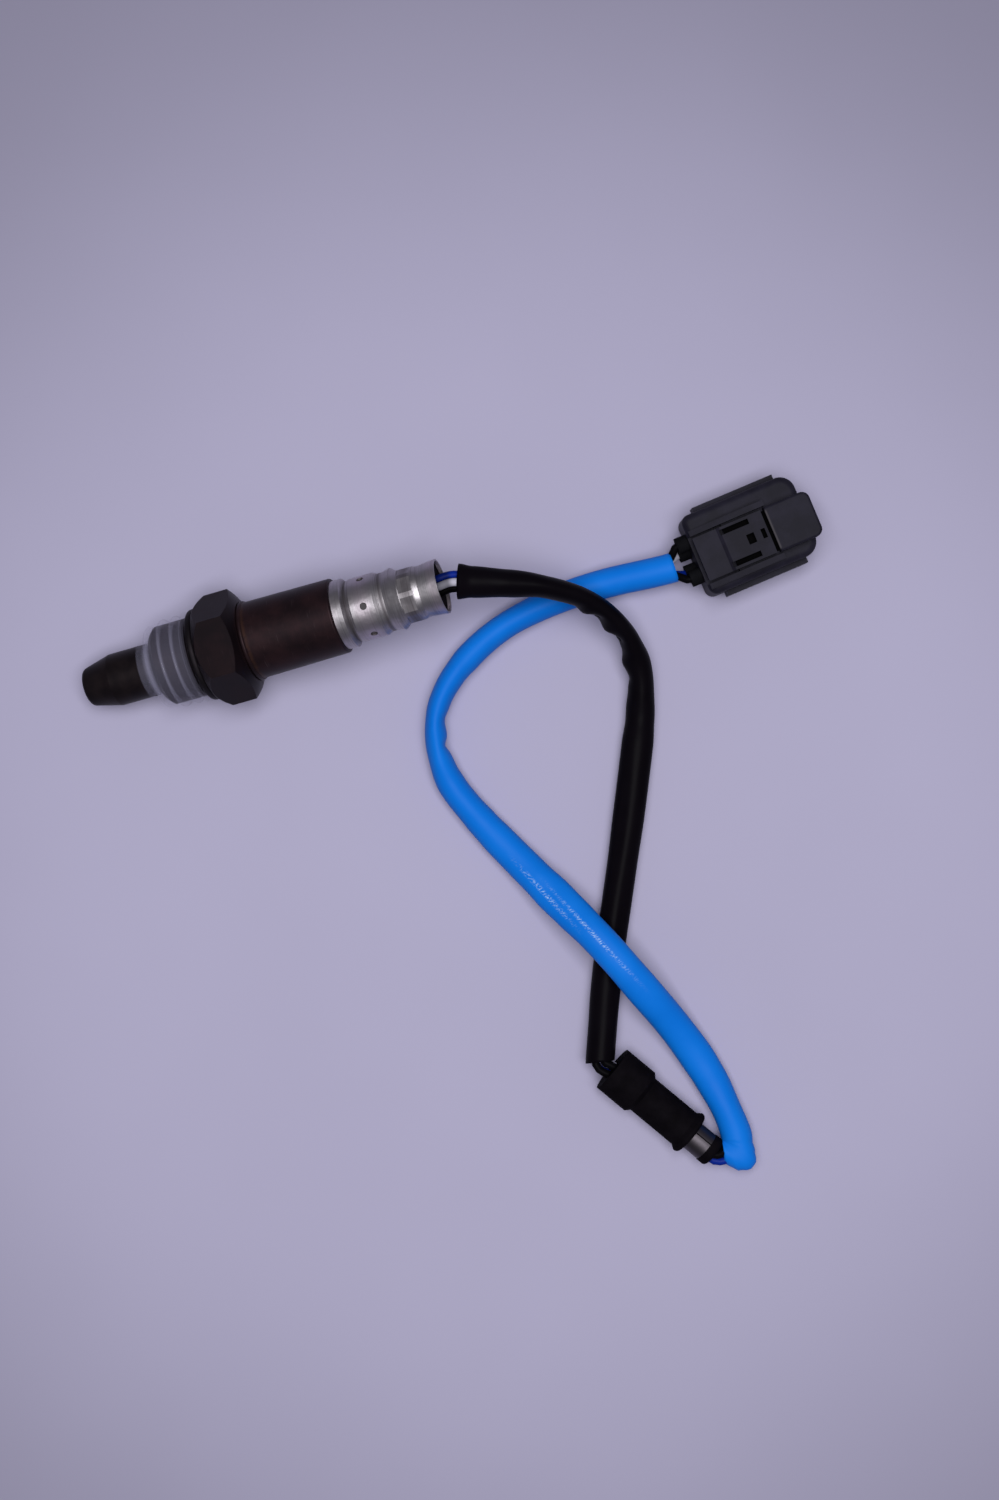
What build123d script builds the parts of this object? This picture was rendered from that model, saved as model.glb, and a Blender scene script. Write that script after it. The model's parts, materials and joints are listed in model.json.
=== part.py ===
"""Heated oxygen sensor with its lead: a threaded sensor, a sleeved four-wire harness and its plug.

The frame: +X runs along the sensor towards its lead, +Z is up, and z = 0 is the surface that
everything lies on. The sensor lies nose down, carried by the front edge of its thread cap.
Along the sensor, "at" values are distances from the sealing seat, positive towards the lead.
"""
import os
from math import cos, pi, radians, sin, sqrt, tan

from build123d import *

# ---- Clearances ----
slip_clearance = 0.05
free_clearance = 0.15
weld_overlap = 0.5
cutter_margin = 1.0

# ---- Metal shell: hexagon, thread and seat ----
hex_across_flats = 22.0
hex_length = 10.0
hex_front_chamfer = 2.3
hex_rear_chamfer = 2.1
hex_chamfer_crown = 0.06
thread_radius = 9.0
thread_length = 11.2
thread_lead_chamfer = 1.0
relief_radius = 8.1
relief_length = 2.4
seat_radius = 10.7
shell_collar_length = 3.0
shell_bore_radius = 5.6
shell_throat_radius = 4.3
shell_throat_at = -8.0
boss_length = 1.8
crimp_lip = 1.0
crimp_lip_radius = 4.6

# ---- Gasket: a folded steel ring, captive behind the thread ----
gasket_radius = 10.5
gasket_inner_radius = 8.3
gasket_thickness = 1.7
gasket_wall = 0.4
gasket_round = 0.75

# ---- Protective cap over the thread ----
cap_wall = 0.5
cap_shoulder_radius = 9.6
cap_shoulder_at = -12.1
cap_shoulder_round = 0.8
cap_mouth_radius = 9.8
cap_rim_radius = 10.4
cap_rim_width = 0.7
cap_rim_at = -2.3
cap_rib_width = 0.9
cap_rib_height = 0.35
cap_ribs_at = [-8.2, -5.2]
cap_collar_length = 2.9
cap_collar_wall = 0.4

# ---- Protector cups on the nose ----
protector_radius = 5.95
protector_wall = 0.5
protector_tip_at = -29.4
protector_taper_at = -22.5
protector_tip_radius = 4.2
protector_tip_round = 1.3
gas_hole_radius = 0.6
tip_hole_radius = 1.0
base_holes_at = -14.2
inner_cup_radius = 3.9
inner_cup_wall = 0.35
inner_cup_tip_at = -25.6
inner_cup_flange = 0.45
inner_holes_at = -18.0
gas_hole_count = 6

# ---- Sensing element and the pieces that pack it into the shell ----
element_width = 4.0
element_thickness = 1.3
element_tip_chamfer = 0.25
element_tip_at = -23.6
element_end_at = 27.0
holder_length = 4.4
sleeve_ceramic_length = 8.0
packing_ring_length = 1.2
packing_ring_bore = 3.2

# ---- Rear insulator, its clip and the contacts ----
insulator_radius = 6.2
insulator_at = 16.0
insulator_length = 11.5
contact_slot_height = 2.6
clip_length = 4.0
clip_wall = 0.6
clip_at = 18.0
contact_width = 1.0
contact_thickness = 0.35
contact_length = 10.0
crimp_radius = 0.9
crimp_length = 5.5
crimp_gap = 0.3

# ---- Rear sleeve, filter cover and wire grommet ----
sleeve_radius = 8.75
sleeve_end_radius = 8.5
sleeve_at = 10.9
sleeve_end_at = 31.6
sleeve_wall = 0.65
sleeve_end_round = 0.6
weld_bead_radius = 9.1
weld_bead_width = 1.1
weld_bead_round = 0.5
cover_wall = 0.4
cover_at = 26.4
cover_band_end_at = 33.8
cover_neck_radius = 6.75
cover_neck_at = 34.5
cover_bulge_radius = 7.15
cover_bulge_from = 35.6
cover_bulge_to = 41.0
cover_groove_radius = 6.6
cover_groove_from = 42.0
cover_groove_to = 43.2
cover_bead_radius = 7.05
cover_bead_at = 45.1
cover_crimp_radius = 6.05
cover_crimp_from = 46.4
cover_crimp_to = 49.9
cover_throat_radius = 5.75
cover_throat_at = 51.0
cover_rim_radius = 6.2
cover_end_at = 55.4
crimp_flat_radius = 5.78
crimp_flat_count = 8
crimp_flat_length = 3.0
vent_hole_radius = 0.8
vent_hole_at = 38.6
vent_hole_count = 6
filter_wall = 0.5
filter_length = 5.0
grommet_seat_wall = 0.85
grommet_front_gap = 1.2
grommet_flange = 1.0
grommet_recess = 0.8

# ---- Wires and their sleeving ----
wire_radius = 0.9
wire_offset = 1.05
wire_clearance = 0.05
wire_roll = -35.0
sleeving_radius = 3.5
sleeving_bore = 2.8
bare_length = 4.3
bend_margin = 0.3
sleeving_margin = 0.5
bend_share = 0.45
black_route = [
    (54.6, -2.3, 22.4), (62.7, -6.1, 19.6), (72.9, -12.3, 14.2), (78.5, -22.3, 8.0), (78.4, -33.5, 3.8),
    (70.8, -54.2, 3.6), (61.8, -75.4, 3.6), (54.6, -92.8, 3.6),
]
blue_route = [
    (72.8, -131.4, 3.7), (70.3, -121.0, 3.7), (66.0, -109.3, 5.2), (60.9, -98.4, 11.6), (55.2, -86.3, 13.2),
    (48.6, -75.2, 9.0), (42.0, -64.0, 4.0), (35.6, -52.6, 3.6), (30.2, -40.6, 3.6), (30.6, -28.5, 3.6),
    (37.2, -19.2, 3.6), (49.6, -12.0, 3.6), (62.5, -9.0, 3.6), (75.5, -7.7, 3.8),
]
first_bend_at = 62.0
harness_lead_in = 1.8
harness_lead_out = 3.0
fold_run = 5.2
fold_heading = 17.0
fold_height = 4.8
fan_start = 7.2
fan_end = 4.1
fan_reach = 1.3
blue_bare = 7.6

# ---- Harness grommet ----
harness_heading = -55.0
harness_front = (49.6, -114.5)
collar_radius = 5.5
collar_length = 8.0
body_radius = 4.5
body_length = 13.2
flange_radius = 5.25
flange_length = 2.1
shoulder_slope = 1.0
flange_round = 0.9
neck_radius = 2.85
neck_length = 4.4
end_flange_radius = 3.55
end_flange_length = 2.3
band_radius = 3.4
band_seam_width = 0.25
band_seam_offset = 1.2

# ---- Plug ----
plug_heading = 7.6
plug_rear = (97.7, -8.1)
plug_length = 26.6
plug_width = 19.0
plug_height = 13.2
plug_edge_round = 1.6
plug_nose_round = 3.6
plug_rear_round = 2.0
shell_wall = 1.3
side_rib_reach = 10.7
side_rib_from = 3.9
side_rib_to = 23.3
side_rib_low = 3.0
side_rib_high = 9.0
hood_from = 17.7
hood_to = 28.1
hood_width = 10.6
hood_height = 16.6
hood_round = 1.8
hood_wall = 1.3
hood_edge_round = 0.6
guard_wall = 1.3
guard_gap = 11.4
guard_height = 15.6
guard_slope_end = 10.0
guard_inset = 0.5
lever_from = 0.6
lever_to = 16.9
lever_shift = -1.1
lever_width = 10.2
lever_top = 15.4
lever_thickness = 1.5
lever_root_from = 7.9
lever_root_to = 10.9
lever_root_width = 6.4
slot_from = 6.7
slot_to = 13.6
slot_width = 1.25
slot_spacing = 7.7
pad_length = 5.6
pad_drop = 0.5
pad_step = 0.8
pad_well = 1.4
square_window_at = 12.8
square_window = (1.8, 2.3)
bar_window_at = 15.8
bar_window = (1.0, 2.2)
mating_depth = 14.8
block_width = 13.8
block_height = 8.6
block_length = 23.7
block_round = 1.0
upper_row_spacing = 8.0
lower_row_spacing = 4.6
row_pitch = 4.6
seal_bore_radius = 1.75
seal_bore_depth = 6.0
seal_length = 5.0
seal_collar_radius = 1.85
seal_collar_length = 2.6
terminal_cavity = 2.4
terminal_box = 2.1
terminal_socket = 1.1
terminal_crimp_length = 4.0
socket_depth = 8.0
terminal_from = 7.2
holder_plate = 1.4
ring_seal_length = 2.6

# ---- How the sensor lies ----
rest_tilt = 10.5

flat_radius = hex_across_flats / 2
hex_corner_radius = hex_across_flats / sqrt(3)
shoulder_centre_radius = cap_shoulder_radius - cap_shoulder_round
shoulder_centre_at = cap_shoulder_at + cap_shoulder_round


def drop(at, radius):
    """How far below the seat's centre the lowest point of a ring on the sensor hangs."""
    return radius * cos(radians(rest_tilt)) - at * sin(radians(rest_tilt))


boss_radius = protector_radius - protector_wall - slip_clearance
shell_collar_radius = sleeve_radius - sleeve_wall - slip_clearance
cap_rib_radius = cap_mouth_radius + cap_rib_height
shoulder_drop = drop(shoulder_centre_at, shoulder_centre_radius) + cap_shoulder_round
rim_drop = drop(cap_rim_at, cap_rim_radius)
rib_drop = drop(cap_ribs_at[0], cap_rib_radius)
flat_drop = drop(0, flat_radius)
nose_drop = drop(protector_taper_at, protector_radius)
seat_height = max(shoulder_drop, rib_drop, rim_drop, flat_drop, nose_drop)

axis_direction = Vector(cos(radians(rest_tilt)), 0, sin(radians(rest_tilt)))
upward = Vector(-sin(radians(rest_tilt)), 0, cos(radians(rest_tilt)))
tip_arc_reach = -(protector_tip_at + protector_tip_round) * cos(radians(rest_tilt))
tip_arc_drop = (protector_tip_radius - protector_tip_round) * sin(radians(rest_tilt))
nose_reach = tip_arc_reach + tip_arc_drop + protector_tip_round
rim_reach = cover_end_at * cos(radians(rest_tilt)) + cover_rim_radius * sin(radians(rest_tilt))
seat_centre = Vector((nose_reach - rim_reach) / 2, 0, seat_height)
axial = Plane(origin=seat_centre, x_dir=axis_direction, z_dir=(0, -1, 0))
sensor_axis = Axis(seat_centre, axis_direction)


def along(at):
    """A point on the sensor's axis."""
    return seat_centre + axis_direction * at


def across(at):
    """A plane square to the sensor's axis, with its local y pointing up."""
    return Plane(origin=along(at), x_dir=(0, 1, 0), z_dir=axis_direction)


def crown_point(start, end, crown):
    """The middle of a line in (at, radius), raised by a little crown."""
    return ((start[0] + end[0]) / 2, (start[1] + end[1]) / 2 + crown)


def turned(at):
    """The same plane, turned about the axis as the element, the contacts and the wires are."""
    plane = across(at)
    sideways = plane.x_dir * cos(radians(wire_roll)) + plane.y_dir * sin(radians(wire_roll))
    return Plane(origin=plane.origin, x_dir=sideways, z_dir=plane.z_dir)


def ring_points(start, end, inner, outer):
    """The four corners of a ring's section, in (at, radius)."""
    return [(start, inner), (end, inner), (end, outer), (start, outer)]


def finish(part, label):
    """Label a piece and write it."""
    part.label = label
    export_step(part, f"parts/{label}.step")


os.makedirs("parts", exist_ok=True)

# ---- Metal shell ----
collar_end_at = hex_length + shell_collar_length
boss_end_at = -thread_length - boss_length
relief_from = -relief_length
front_chamfer = [(0, seat_radius), (hex_front_chamfer, hex_corner_radius)]
rear_chamfer = [(hex_length - hex_rear_chamfer, hex_corner_radius), (hex_length, weld_bead_radius)]
with BuildPart() as shell:
    with BuildSketch(across(0)):
        RegularPolygon(radius=flat_radius, side_count=6, major_radius=False)
    extrude(amount=hex_length)
    with BuildSketch(axial):
        with BuildLine():
            for start, end in (front_chamfer, rear_chamfer):
                ThreePointArc(start, crown_point(start, end, hex_chamfer_crown), end)
            Line(front_chamfer[1], rear_chamfer[0])
            Polyline(rear_chamfer[1], (hex_length, 0), (0, 0), front_chamfer[0])
        make_face()
    revolve(axis=sensor_axis, mode=Mode.INTERSECT)
    with BuildSketch(axial):
        with BuildLine():
            Polyline(
                (boss_end_at, 0), (boss_end_at, boss_radius), (-thread_length, boss_radius),
                (-thread_length, thread_radius - thread_lead_chamfer),
                (-thread_length + thread_lead_chamfer, thread_radius),
                (relief_from - (thread_radius - relief_radius), thread_radius),
                (relief_from, relief_radius), (weld_overlap, relief_radius), (weld_overlap, 0), close=True,
            )
        make_face()
    revolve(axis=sensor_axis)
    with BuildSketch(axial):
        with BuildLine():
            Polyline(
                ring_points(hex_length - weld_overlap, collar_end_at, 0, shell_collar_radius), close=True
            )
        make_face()
    revolve(axis=sensor_axis)
    with BuildSketch(axial):
        with BuildLine():
            Polyline(
                (boss_end_at, 0), (boss_end_at, shell_throat_radius),
                (shell_throat_at, shell_throat_radius), (shell_throat_at, shell_bore_radius),
                (collar_end_at - crimp_lip, shell_bore_radius),
                (collar_end_at - crimp_lip, crimp_lip_radius), (collar_end_at, crimp_lip_radius),
                (collar_end_at, 0), close=True,
            )
        make_face()
    revolve(axis=sensor_axis, mode=Mode.SUBTRACT)
finish(shell.part, "metal_shell")

# ---- Gasket ----
gasket_front_at = -gasket_thickness - slip_clearance
with BuildPart() as gasket:
    with BuildSketch(axial):
        with BuildLine():
            Polyline(
                ring_points(gasket_front_at, -slip_clearance, gasket_inner_radius, gasket_radius), close=True
            )
        gasket_section = make_face()
        fillet(gasket_section.vertices().group_by(Axis.Y)[-1], gasket_round)
        with BuildLine():
            Polyline(
                ring_points(
                    gasket_front_at + gasket_wall, -slip_clearance - gasket_wall,
                    gasket_inner_radius - gasket_wall, gasket_radius - 2 * gasket_wall,
                ),
                close=True,
            )
        make_face(mode=Mode.SUBTRACT)
    revolve(axis=sensor_axis)
finish(gasket.part, "sealing_gasket")

# ---- Thread cap ----
cap_bore = thread_radius + slip_clearance
cap_collar_bore = protector_radius + slip_clearance
cap_collar_radius = cap_collar_bore + cap_collar_wall
with BuildPart() as cap:
    with BuildSketch(axial):
        with BuildLine():
            Polyline(
                (cap_shoulder_at - cap_collar_length, cap_collar_bore),
                (cap_shoulder_at - cap_collar_length, cap_collar_radius),
                (cap_shoulder_at, cap_collar_radius), (cap_shoulder_at, cap_shoulder_radius),
                (cap_rim_at - cap_rim_width, cap_mouth_radius), (cap_rim_at - cap_rim_width, cap_rim_radius),
                (cap_rim_at, cap_rim_radius), (cap_rim_at, cap_bore),
                (cap_shoulder_at + cap_wall, cap_bore), (cap_shoulder_at + cap_wall, cap_collar_bore),
                close=True,
            )
        cap_section = make_face()
        cap_corner = cap_section.vertices().sort_by_distance((cap_shoulder_at, cap_shoulder_radius))[0]
        fillet(cap_corner, cap_shoulder_round)
    revolve(axis=sensor_axis)
    for rib_at in cap_ribs_at:
        with BuildSketch(axial):
            with BuildLine():
                ThreePointArc(
                    (rib_at - cap_rib_width / 2, cap_shoulder_radius), (rib_at, cap_rib_radius),
                    (rib_at + cap_rib_width / 2, cap_shoulder_radius),
                )
                Polyline(
                    (rib_at + cap_rib_width / 2, cap_shoulder_radius),
                    (rib_at + cap_rib_width / 2, cap_shoulder_radius - cap_wall / 2),
                    (rib_at - cap_rib_width / 2, cap_shoulder_radius - cap_wall / 2),
                    (rib_at - cap_rib_width / 2, cap_shoulder_radius),
                )
            make_face()
        revolve(axis=sensor_axis)
finish(cap.part, "thread_cap")

# ---- Outer protector ----
protector_bore = protector_radius - protector_wall
with BuildPart() as outer_cup:
    with BuildSketch(axial):
        with BuildLine():
            Polyline(
                (protector_tip_at, 0), (protector_tip_at, protector_tip_radius),
                (protector_taper_at, protector_radius), (-thread_length, protector_radius),
                (-thread_length, 0), close=True,
            )
        cup_section = make_face()
        tip_corner = cup_section.vertices().sort_by_distance((protector_tip_at, protector_tip_radius))[0]
        fillet(tip_corner, protector_tip_round)
    revolve(axis=sensor_axis)
    with BuildSketch(axial):
        with BuildLine():
            Polyline(
                (protector_tip_at + protector_wall, 0),
                (protector_tip_at + protector_wall, protector_tip_radius - protector_wall),
                (protector_taper_at, protector_bore), (-thread_length, protector_bore),
                (-thread_length, 0), close=True,
            )
        bore_section = make_face()
        bore_corner = bore_section.vertices().sort_by_distance(
            (protector_tip_at + protector_wall, protector_tip_radius - protector_wall))[0]
        fillet(bore_corner, protector_tip_round - protector_wall)
    revolve(axis=sensor_axis, mode=Mode.SUBTRACT)
    with BuildSketch(across(protector_tip_at)):
        Circle(tip_hole_radius)
    extrude(amount=2 * protector_wall, mode=Mode.SUBTRACT)
    with Locations(across(base_holes_at)):
        with PolarLocations(0, gas_hole_count):
            Cylinder(gas_hole_radius, protector_radius + cutter_margin, rotation=(0, 90, 0),
                     align=(Align.CENTER, Align.CENTER, Align.MIN), mode=Mode.SUBTRACT)
finish(outer_cup.part, "outer_protector")

# ---- Inner protector ----
inner_cup_bore = inner_cup_radius - inner_cup_wall
flange_front_at = boss_end_at - inner_cup_flange
with BuildPart() as inner_cup:
    with BuildSketch(axial):
        with BuildLine():
            Polyline(
                (inner_cup_tip_at, 0), (inner_cup_tip_at, inner_cup_radius),
                (flange_front_at, inner_cup_radius), (flange_front_at, boss_radius),
                (boss_end_at, boss_radius), (boss_end_at, inner_cup_bore),
                (inner_cup_tip_at + inner_cup_wall, inner_cup_bore), (inner_cup_tip_at + inner_cup_wall, 0),
                close=True,
            )
        make_face()
    revolve(axis=sensor_axis)
    with Locations(across(inner_holes_at)):
        with PolarLocations(0, gas_hole_count):
            Cylinder(gas_hole_radius, inner_cup_radius + cutter_margin, rotation=(0, 90, 0),
                     align=(Align.CENTER, Align.CENTER, Align.MIN), mode=Mode.SUBTRACT)
    with BuildSketch(across(inner_cup_tip_at)):
        Circle(tip_hole_radius)
    extrude(amount=2 * inner_cup_wall, mode=Mode.SUBTRACT)
finish(inner_cup.part, "inner_protector")

# ---- Sensing element ----
with BuildPart() as element:
    with BuildSketch(turned(element_tip_at)):
        Rectangle(element_width, element_thickness)
    extrude(amount=element_end_at - element_tip_at)
    chamfer(element.faces().sort_by(Axis(seat_centre, axis_direction))[0].edges(), element_tip_chamfer)
finish(element.part, "sensing_element")

# ---- The stack that packs the element into the shell ----
stack_radius = shell_bore_radius - slip_clearance
holder_end_at = shell_throat_at + holder_length
ring_end_at = collar_end_at - crimp_lip
ring_from = ring_end_at - packing_ring_length
ceramic_from = ring_from - sleeve_ceramic_length
stack = {
    "front_holder": (shell_throat_at, holder_end_at),
    "talc_seal": (holder_end_at, ceramic_from),
    "ceramic_sleeve": (ceramic_from, ring_from),
}
for label, (start, end) in stack.items():
    with BuildPart() as packed:
        with BuildSketch(turned(start)):
            Circle(stack_radius)
            Rectangle(
                element_width + 2 * slip_clearance, element_thickness + 2 * slip_clearance,
                mode=Mode.SUBTRACT,
            )
        extrude(amount=end - start)
    finish(packed.part, label)
with BuildPart() as packing_ring:
    with BuildSketch(across(ring_from)):
        Circle(stack_radius)
        Circle(packing_ring_bore, mode=Mode.SUBTRACT)
    extrude(amount=packing_ring_length)
finish(packing_ring.part, "packing_ring")

# ---- Rear insulator and its clip ----
with BuildPart() as insulator:
    with BuildSketch(turned(insulator_at)):
        Circle(insulator_radius)
        Rectangle(element_width + 2 * free_clearance, contact_slot_height, mode=Mode.SUBTRACT)
    extrude(amount=insulator_length)
finish(insulator.part, "rear_insulator")

clip_bore = insulator_radius + slip_clearance
clip_radius = sleeve_end_radius - sleeve_wall - slip_clearance
with BuildPart() as clip:
    with BuildSketch(axial):
        with BuildLine():
            Polyline(
                (clip_at, clip_bore), (clip_at + clip_length, clip_bore),
                (clip_at + clip_length, clip_bore + clip_wall), (clip_at + clip_wall, clip_bore + clip_wall),
                (clip_at + clip_wall, clip_radius - clip_wall),
                (clip_at + clip_length, clip_radius - clip_wall), (clip_at + clip_length, clip_radius),
                (clip_at, clip_radius), close=True,
            )
        make_face()
    revolve(axis=sensor_axis)
finish(clip.part, "insulator_clip")

# ---- Contacts: a leaf on the element and a crimp on each wire ----
crimp_at = insulator_at + insulator_length + crimp_gap
leaf_at = crimp_at + crimp_gap - contact_length
leaf_height = element_thickness / 2 + slip_clearance + contact_thickness / 2
wire_start_at = crimp_at + crimp_length
with BuildPart() as contacts:
    with BuildSketch(turned(leaf_at)):
        for side in (-1, 1):
            with Locations((side * wire_offset, leaf_height), (side * wire_offset, -leaf_height)):
                Rectangle(contact_width, contact_thickness)
    extrude(amount=contact_length)
    with BuildSketch(turned(crimp_at)):
        with GridLocations(2 * wire_offset, 2 * wire_offset, 2, 2):
            Circle(crimp_radius)
    extrude(amount=crimp_length)
finish(contacts.part, "contact_terminals")

# ---- Rear sleeve with its weld bead ----
with BuildPart() as sleeve:
    with BuildSketch(axial):
        with BuildLine():
            Polyline(
                (hex_length, sleeve_radius - sleeve_wall), (hex_length, weld_bead_radius),
                (hex_length + weld_bead_width, weld_bead_radius),
                (hex_length + weld_bead_width, sleeve_radius - sleeve_wall), close=True,
            )
        bead_section = make_face()
        fillet(bead_section.vertices().group_by(Axis.Y)[-1], weld_bead_round)
        with BuildLine():
            Polyline(
                (sleeve_at, sleeve_radius - sleeve_wall), (sleeve_at, sleeve_radius),
                (sleeve_end_at, sleeve_end_radius), (sleeve_end_at, sleeve_end_radius - sleeve_wall),
                close=True,
            )
        sleeve_section = make_face()
        sleeve_corner = sleeve_section.vertices().sort_by_distance((sleeve_end_at, sleeve_end_radius))[0]
        fillet(sleeve_corner, sleeve_end_round)
    revolve(axis=sensor_axis)
finish(sleeve.part, "rear_sleeve")

# ---- Filter cover ----
cover_band_radius = sleeve_end_radius - sleeve_wall - slip_clearance
grommet_radius = cover_crimp_radius - grommet_seat_wall
cover_outline = [
    (cover_at, cover_band_radius), (cover_band_end_at, cover_band_radius),
    (cover_neck_at, cover_neck_radius), (cover_bulge_from, cover_bulge_radius),
    (cover_bulge_to, cover_bulge_radius),
    (cover_groove_from, cover_groove_radius), (cover_groove_to, cover_groove_radius),
    (cover_bead_at, cover_bead_radius), (cover_crimp_from, cover_crimp_radius),
    (cover_crimp_to, cover_crimp_radius), (cover_throat_at, cover_throat_radius),
    (cover_end_at, cover_rim_radius),
]
crimped_bore = grommet_radius + slip_clearance
cover_bore = []
for at, radius in cover_outline:
    crimped = cover_crimp_from <= at <= cover_crimp_to
    cover_bore.append((at, crimped_bore if crimped else radius - cover_wall))
with BuildPart() as cover:
    with BuildSketch(axial):
        with BuildLine():
            Polyline(cover_outline + cover_bore[::-1], close=True)
        make_face()
    revolve(axis=sensor_axis)
    with BuildSketch(across((cover_crimp_from + cover_crimp_to - crimp_flat_length) / 2)):
        Circle(cover_crimp_radius + cutter_margin)
        RegularPolygon(radius=crimp_flat_radius, side_count=crimp_flat_count, major_radius=False,
                       mode=Mode.SUBTRACT)
    extrude(amount=crimp_flat_length, mode=Mode.SUBTRACT)
    with Locations(across(vent_hole_at)):
        with PolarLocations(0, vent_hole_count, start_angle=90):
            Cylinder(vent_hole_radius, cover_bulge_radius + cutter_margin, rotation=(0, 90, 0),
                     align=(Align.CENTER, Align.CENTER, Align.MIN), mode=Mode.SUBTRACT)
finish(cover.part, "filter_cover")

# ---- Vent filter and the tube that carries it ----
grommet_front_at = cover_groove_to + grommet_front_gap
filter_radius = cover_bulge_radius - cover_wall - slip_clearance
filter_bore = filter_radius - filter_wall
filter_from = vent_hole_at - filter_length / 2
with BuildPart() as vent_filter:
    with BuildSketch(across(filter_from)):
        Circle(filter_radius)
        Circle(filter_bore, mode=Mode.SUBTRACT)
    extrude(amount=filter_length)
finish(vent_filter.part, "vent_filter")

tube_radius = filter_bore - slip_clearance
tube_from = filter_from - cover_wall
with BuildPart() as filter_tube:
    with BuildSketch(across(tube_from)):
        Circle(tube_radius)
        Circle(tube_radius - cover_wall, mode=Mode.SUBTRACT)
    extrude(amount=grommet_front_at - tube_from)
    with Locations(across(vent_hole_at)):
        with PolarLocations(0, vent_hole_count, start_angle=90):
            Cylinder(vent_hole_radius, tube_radius + cutter_margin, rotation=(0, 90, 0),
                     align=(Align.CENTER, Align.CENTER, Align.MIN), mode=Mode.SUBTRACT)
finish(filter_tube.part, "filter_tube")

# ---- Wire grommet ----
grommet_flange_radius = cover_groove_radius - cover_wall - slip_clearance
grommet_end_at = cover_end_at - grommet_recess
flare = (cover_rim_radius - cover_throat_radius) / (cover_end_at - cover_throat_at)
grommet_end_radius = cover_rim_radius - flare * grommet_recess - cover_wall - slip_clearance
wire_bore = wire_radius + wire_clearance
with BuildPart() as wire_grommet:
    with BuildSketch(axial):
        with BuildLine():
            Polyline(
                (grommet_front_at, 0), (grommet_front_at, grommet_flange_radius),
                (grommet_front_at + grommet_flange, grommet_flange_radius),
                (grommet_front_at + grommet_flange, grommet_radius), (cover_throat_at, grommet_radius),
                (grommet_end_at, grommet_end_radius), (grommet_end_at, 0), close=True,
            )
        make_face()
    revolve(axis=sensor_axis)
    with BuildSketch(turned(grommet_front_at)):
        with GridLocations(2 * wire_offset, 2 * wire_offset, 2, 2):
            Circle(wire_bore)
    extrude(amount=grommet_end_at - grommet_front_at, mode=Mode.SUBTRACT)
finish(wire_grommet.part, "wire_grommet")

# ---- The lead's route ----
core_height = plug_height / 2
harness_direction = Vector(cos(radians(harness_heading)), sin(radians(harness_heading)), 0)
harness_start = Vector(harness_front[0], harness_front[1], collar_radius)
harness_length = collar_length + body_length + flange_length + neck_length + end_flange_length
harness_end = harness_start + harness_direction * harness_length
plug_direction = Vector(cos(radians(plug_heading)), sin(radians(plug_heading)), 0)
plug = Plane(origin=(plug_rear[0], plug_rear[1], 0), x_dir=plug_direction, z_dir=(0, 0, 1))
fold_direction = Vector(cos(radians(fold_heading)), sin(radians(fold_heading)), 0)
turn_in = harness_start - harness_direction * harness_lead_in
turn_out = harness_end + harness_direction * harness_lead_out
fold_point = turn_out + fold_direction * fold_run
fold_point = Vector(fold_point.X, fold_point.Y, fold_height)
route = [along(wire_start_at), along(first_bend_at)]
route += [Vector(*point) for point in black_route]
route += [turn_in, turn_out, fold_point]
route += [Vector(*point) for point in blue_route]
route += [plug.from_local_coords(Vector(-fan_start, 0, core_height))]
entry_index = len(black_route) + 2
fold_index = entry_index + 2


def turn_at(points, index):
    """The angle, in radians, by which a route turns at one of its points."""
    before = points[index] - points[index - 1]
    after = points[index + 1] - points[index]
    return radians(before.get_angle(after))


def bend_radii(points, limits):
    """One radius for each inner point, from its shorter run or from a stated limit on its reach."""
    radii = []
    for index in range(1, len(points) - 1):
        shorter = min((points[index] - points[index - 1]).length, (points[index + 1] - points[index]).length)
        reach = min(bend_share * shorter, limits.get(index, shorter))
        radii.append(reach / tan(turn_at(points, index) / 2))
    return radii


reach_limits = {1: first_bend_at - cover_end_at - bare_length - bend_margin}
reach_limits[entry_index] = harness_lead_in - bend_margin
reach_limits[entry_index + 1] = harness_lead_out - bend_margin
route_radii = bend_radii(route, reach_limits)


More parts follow.
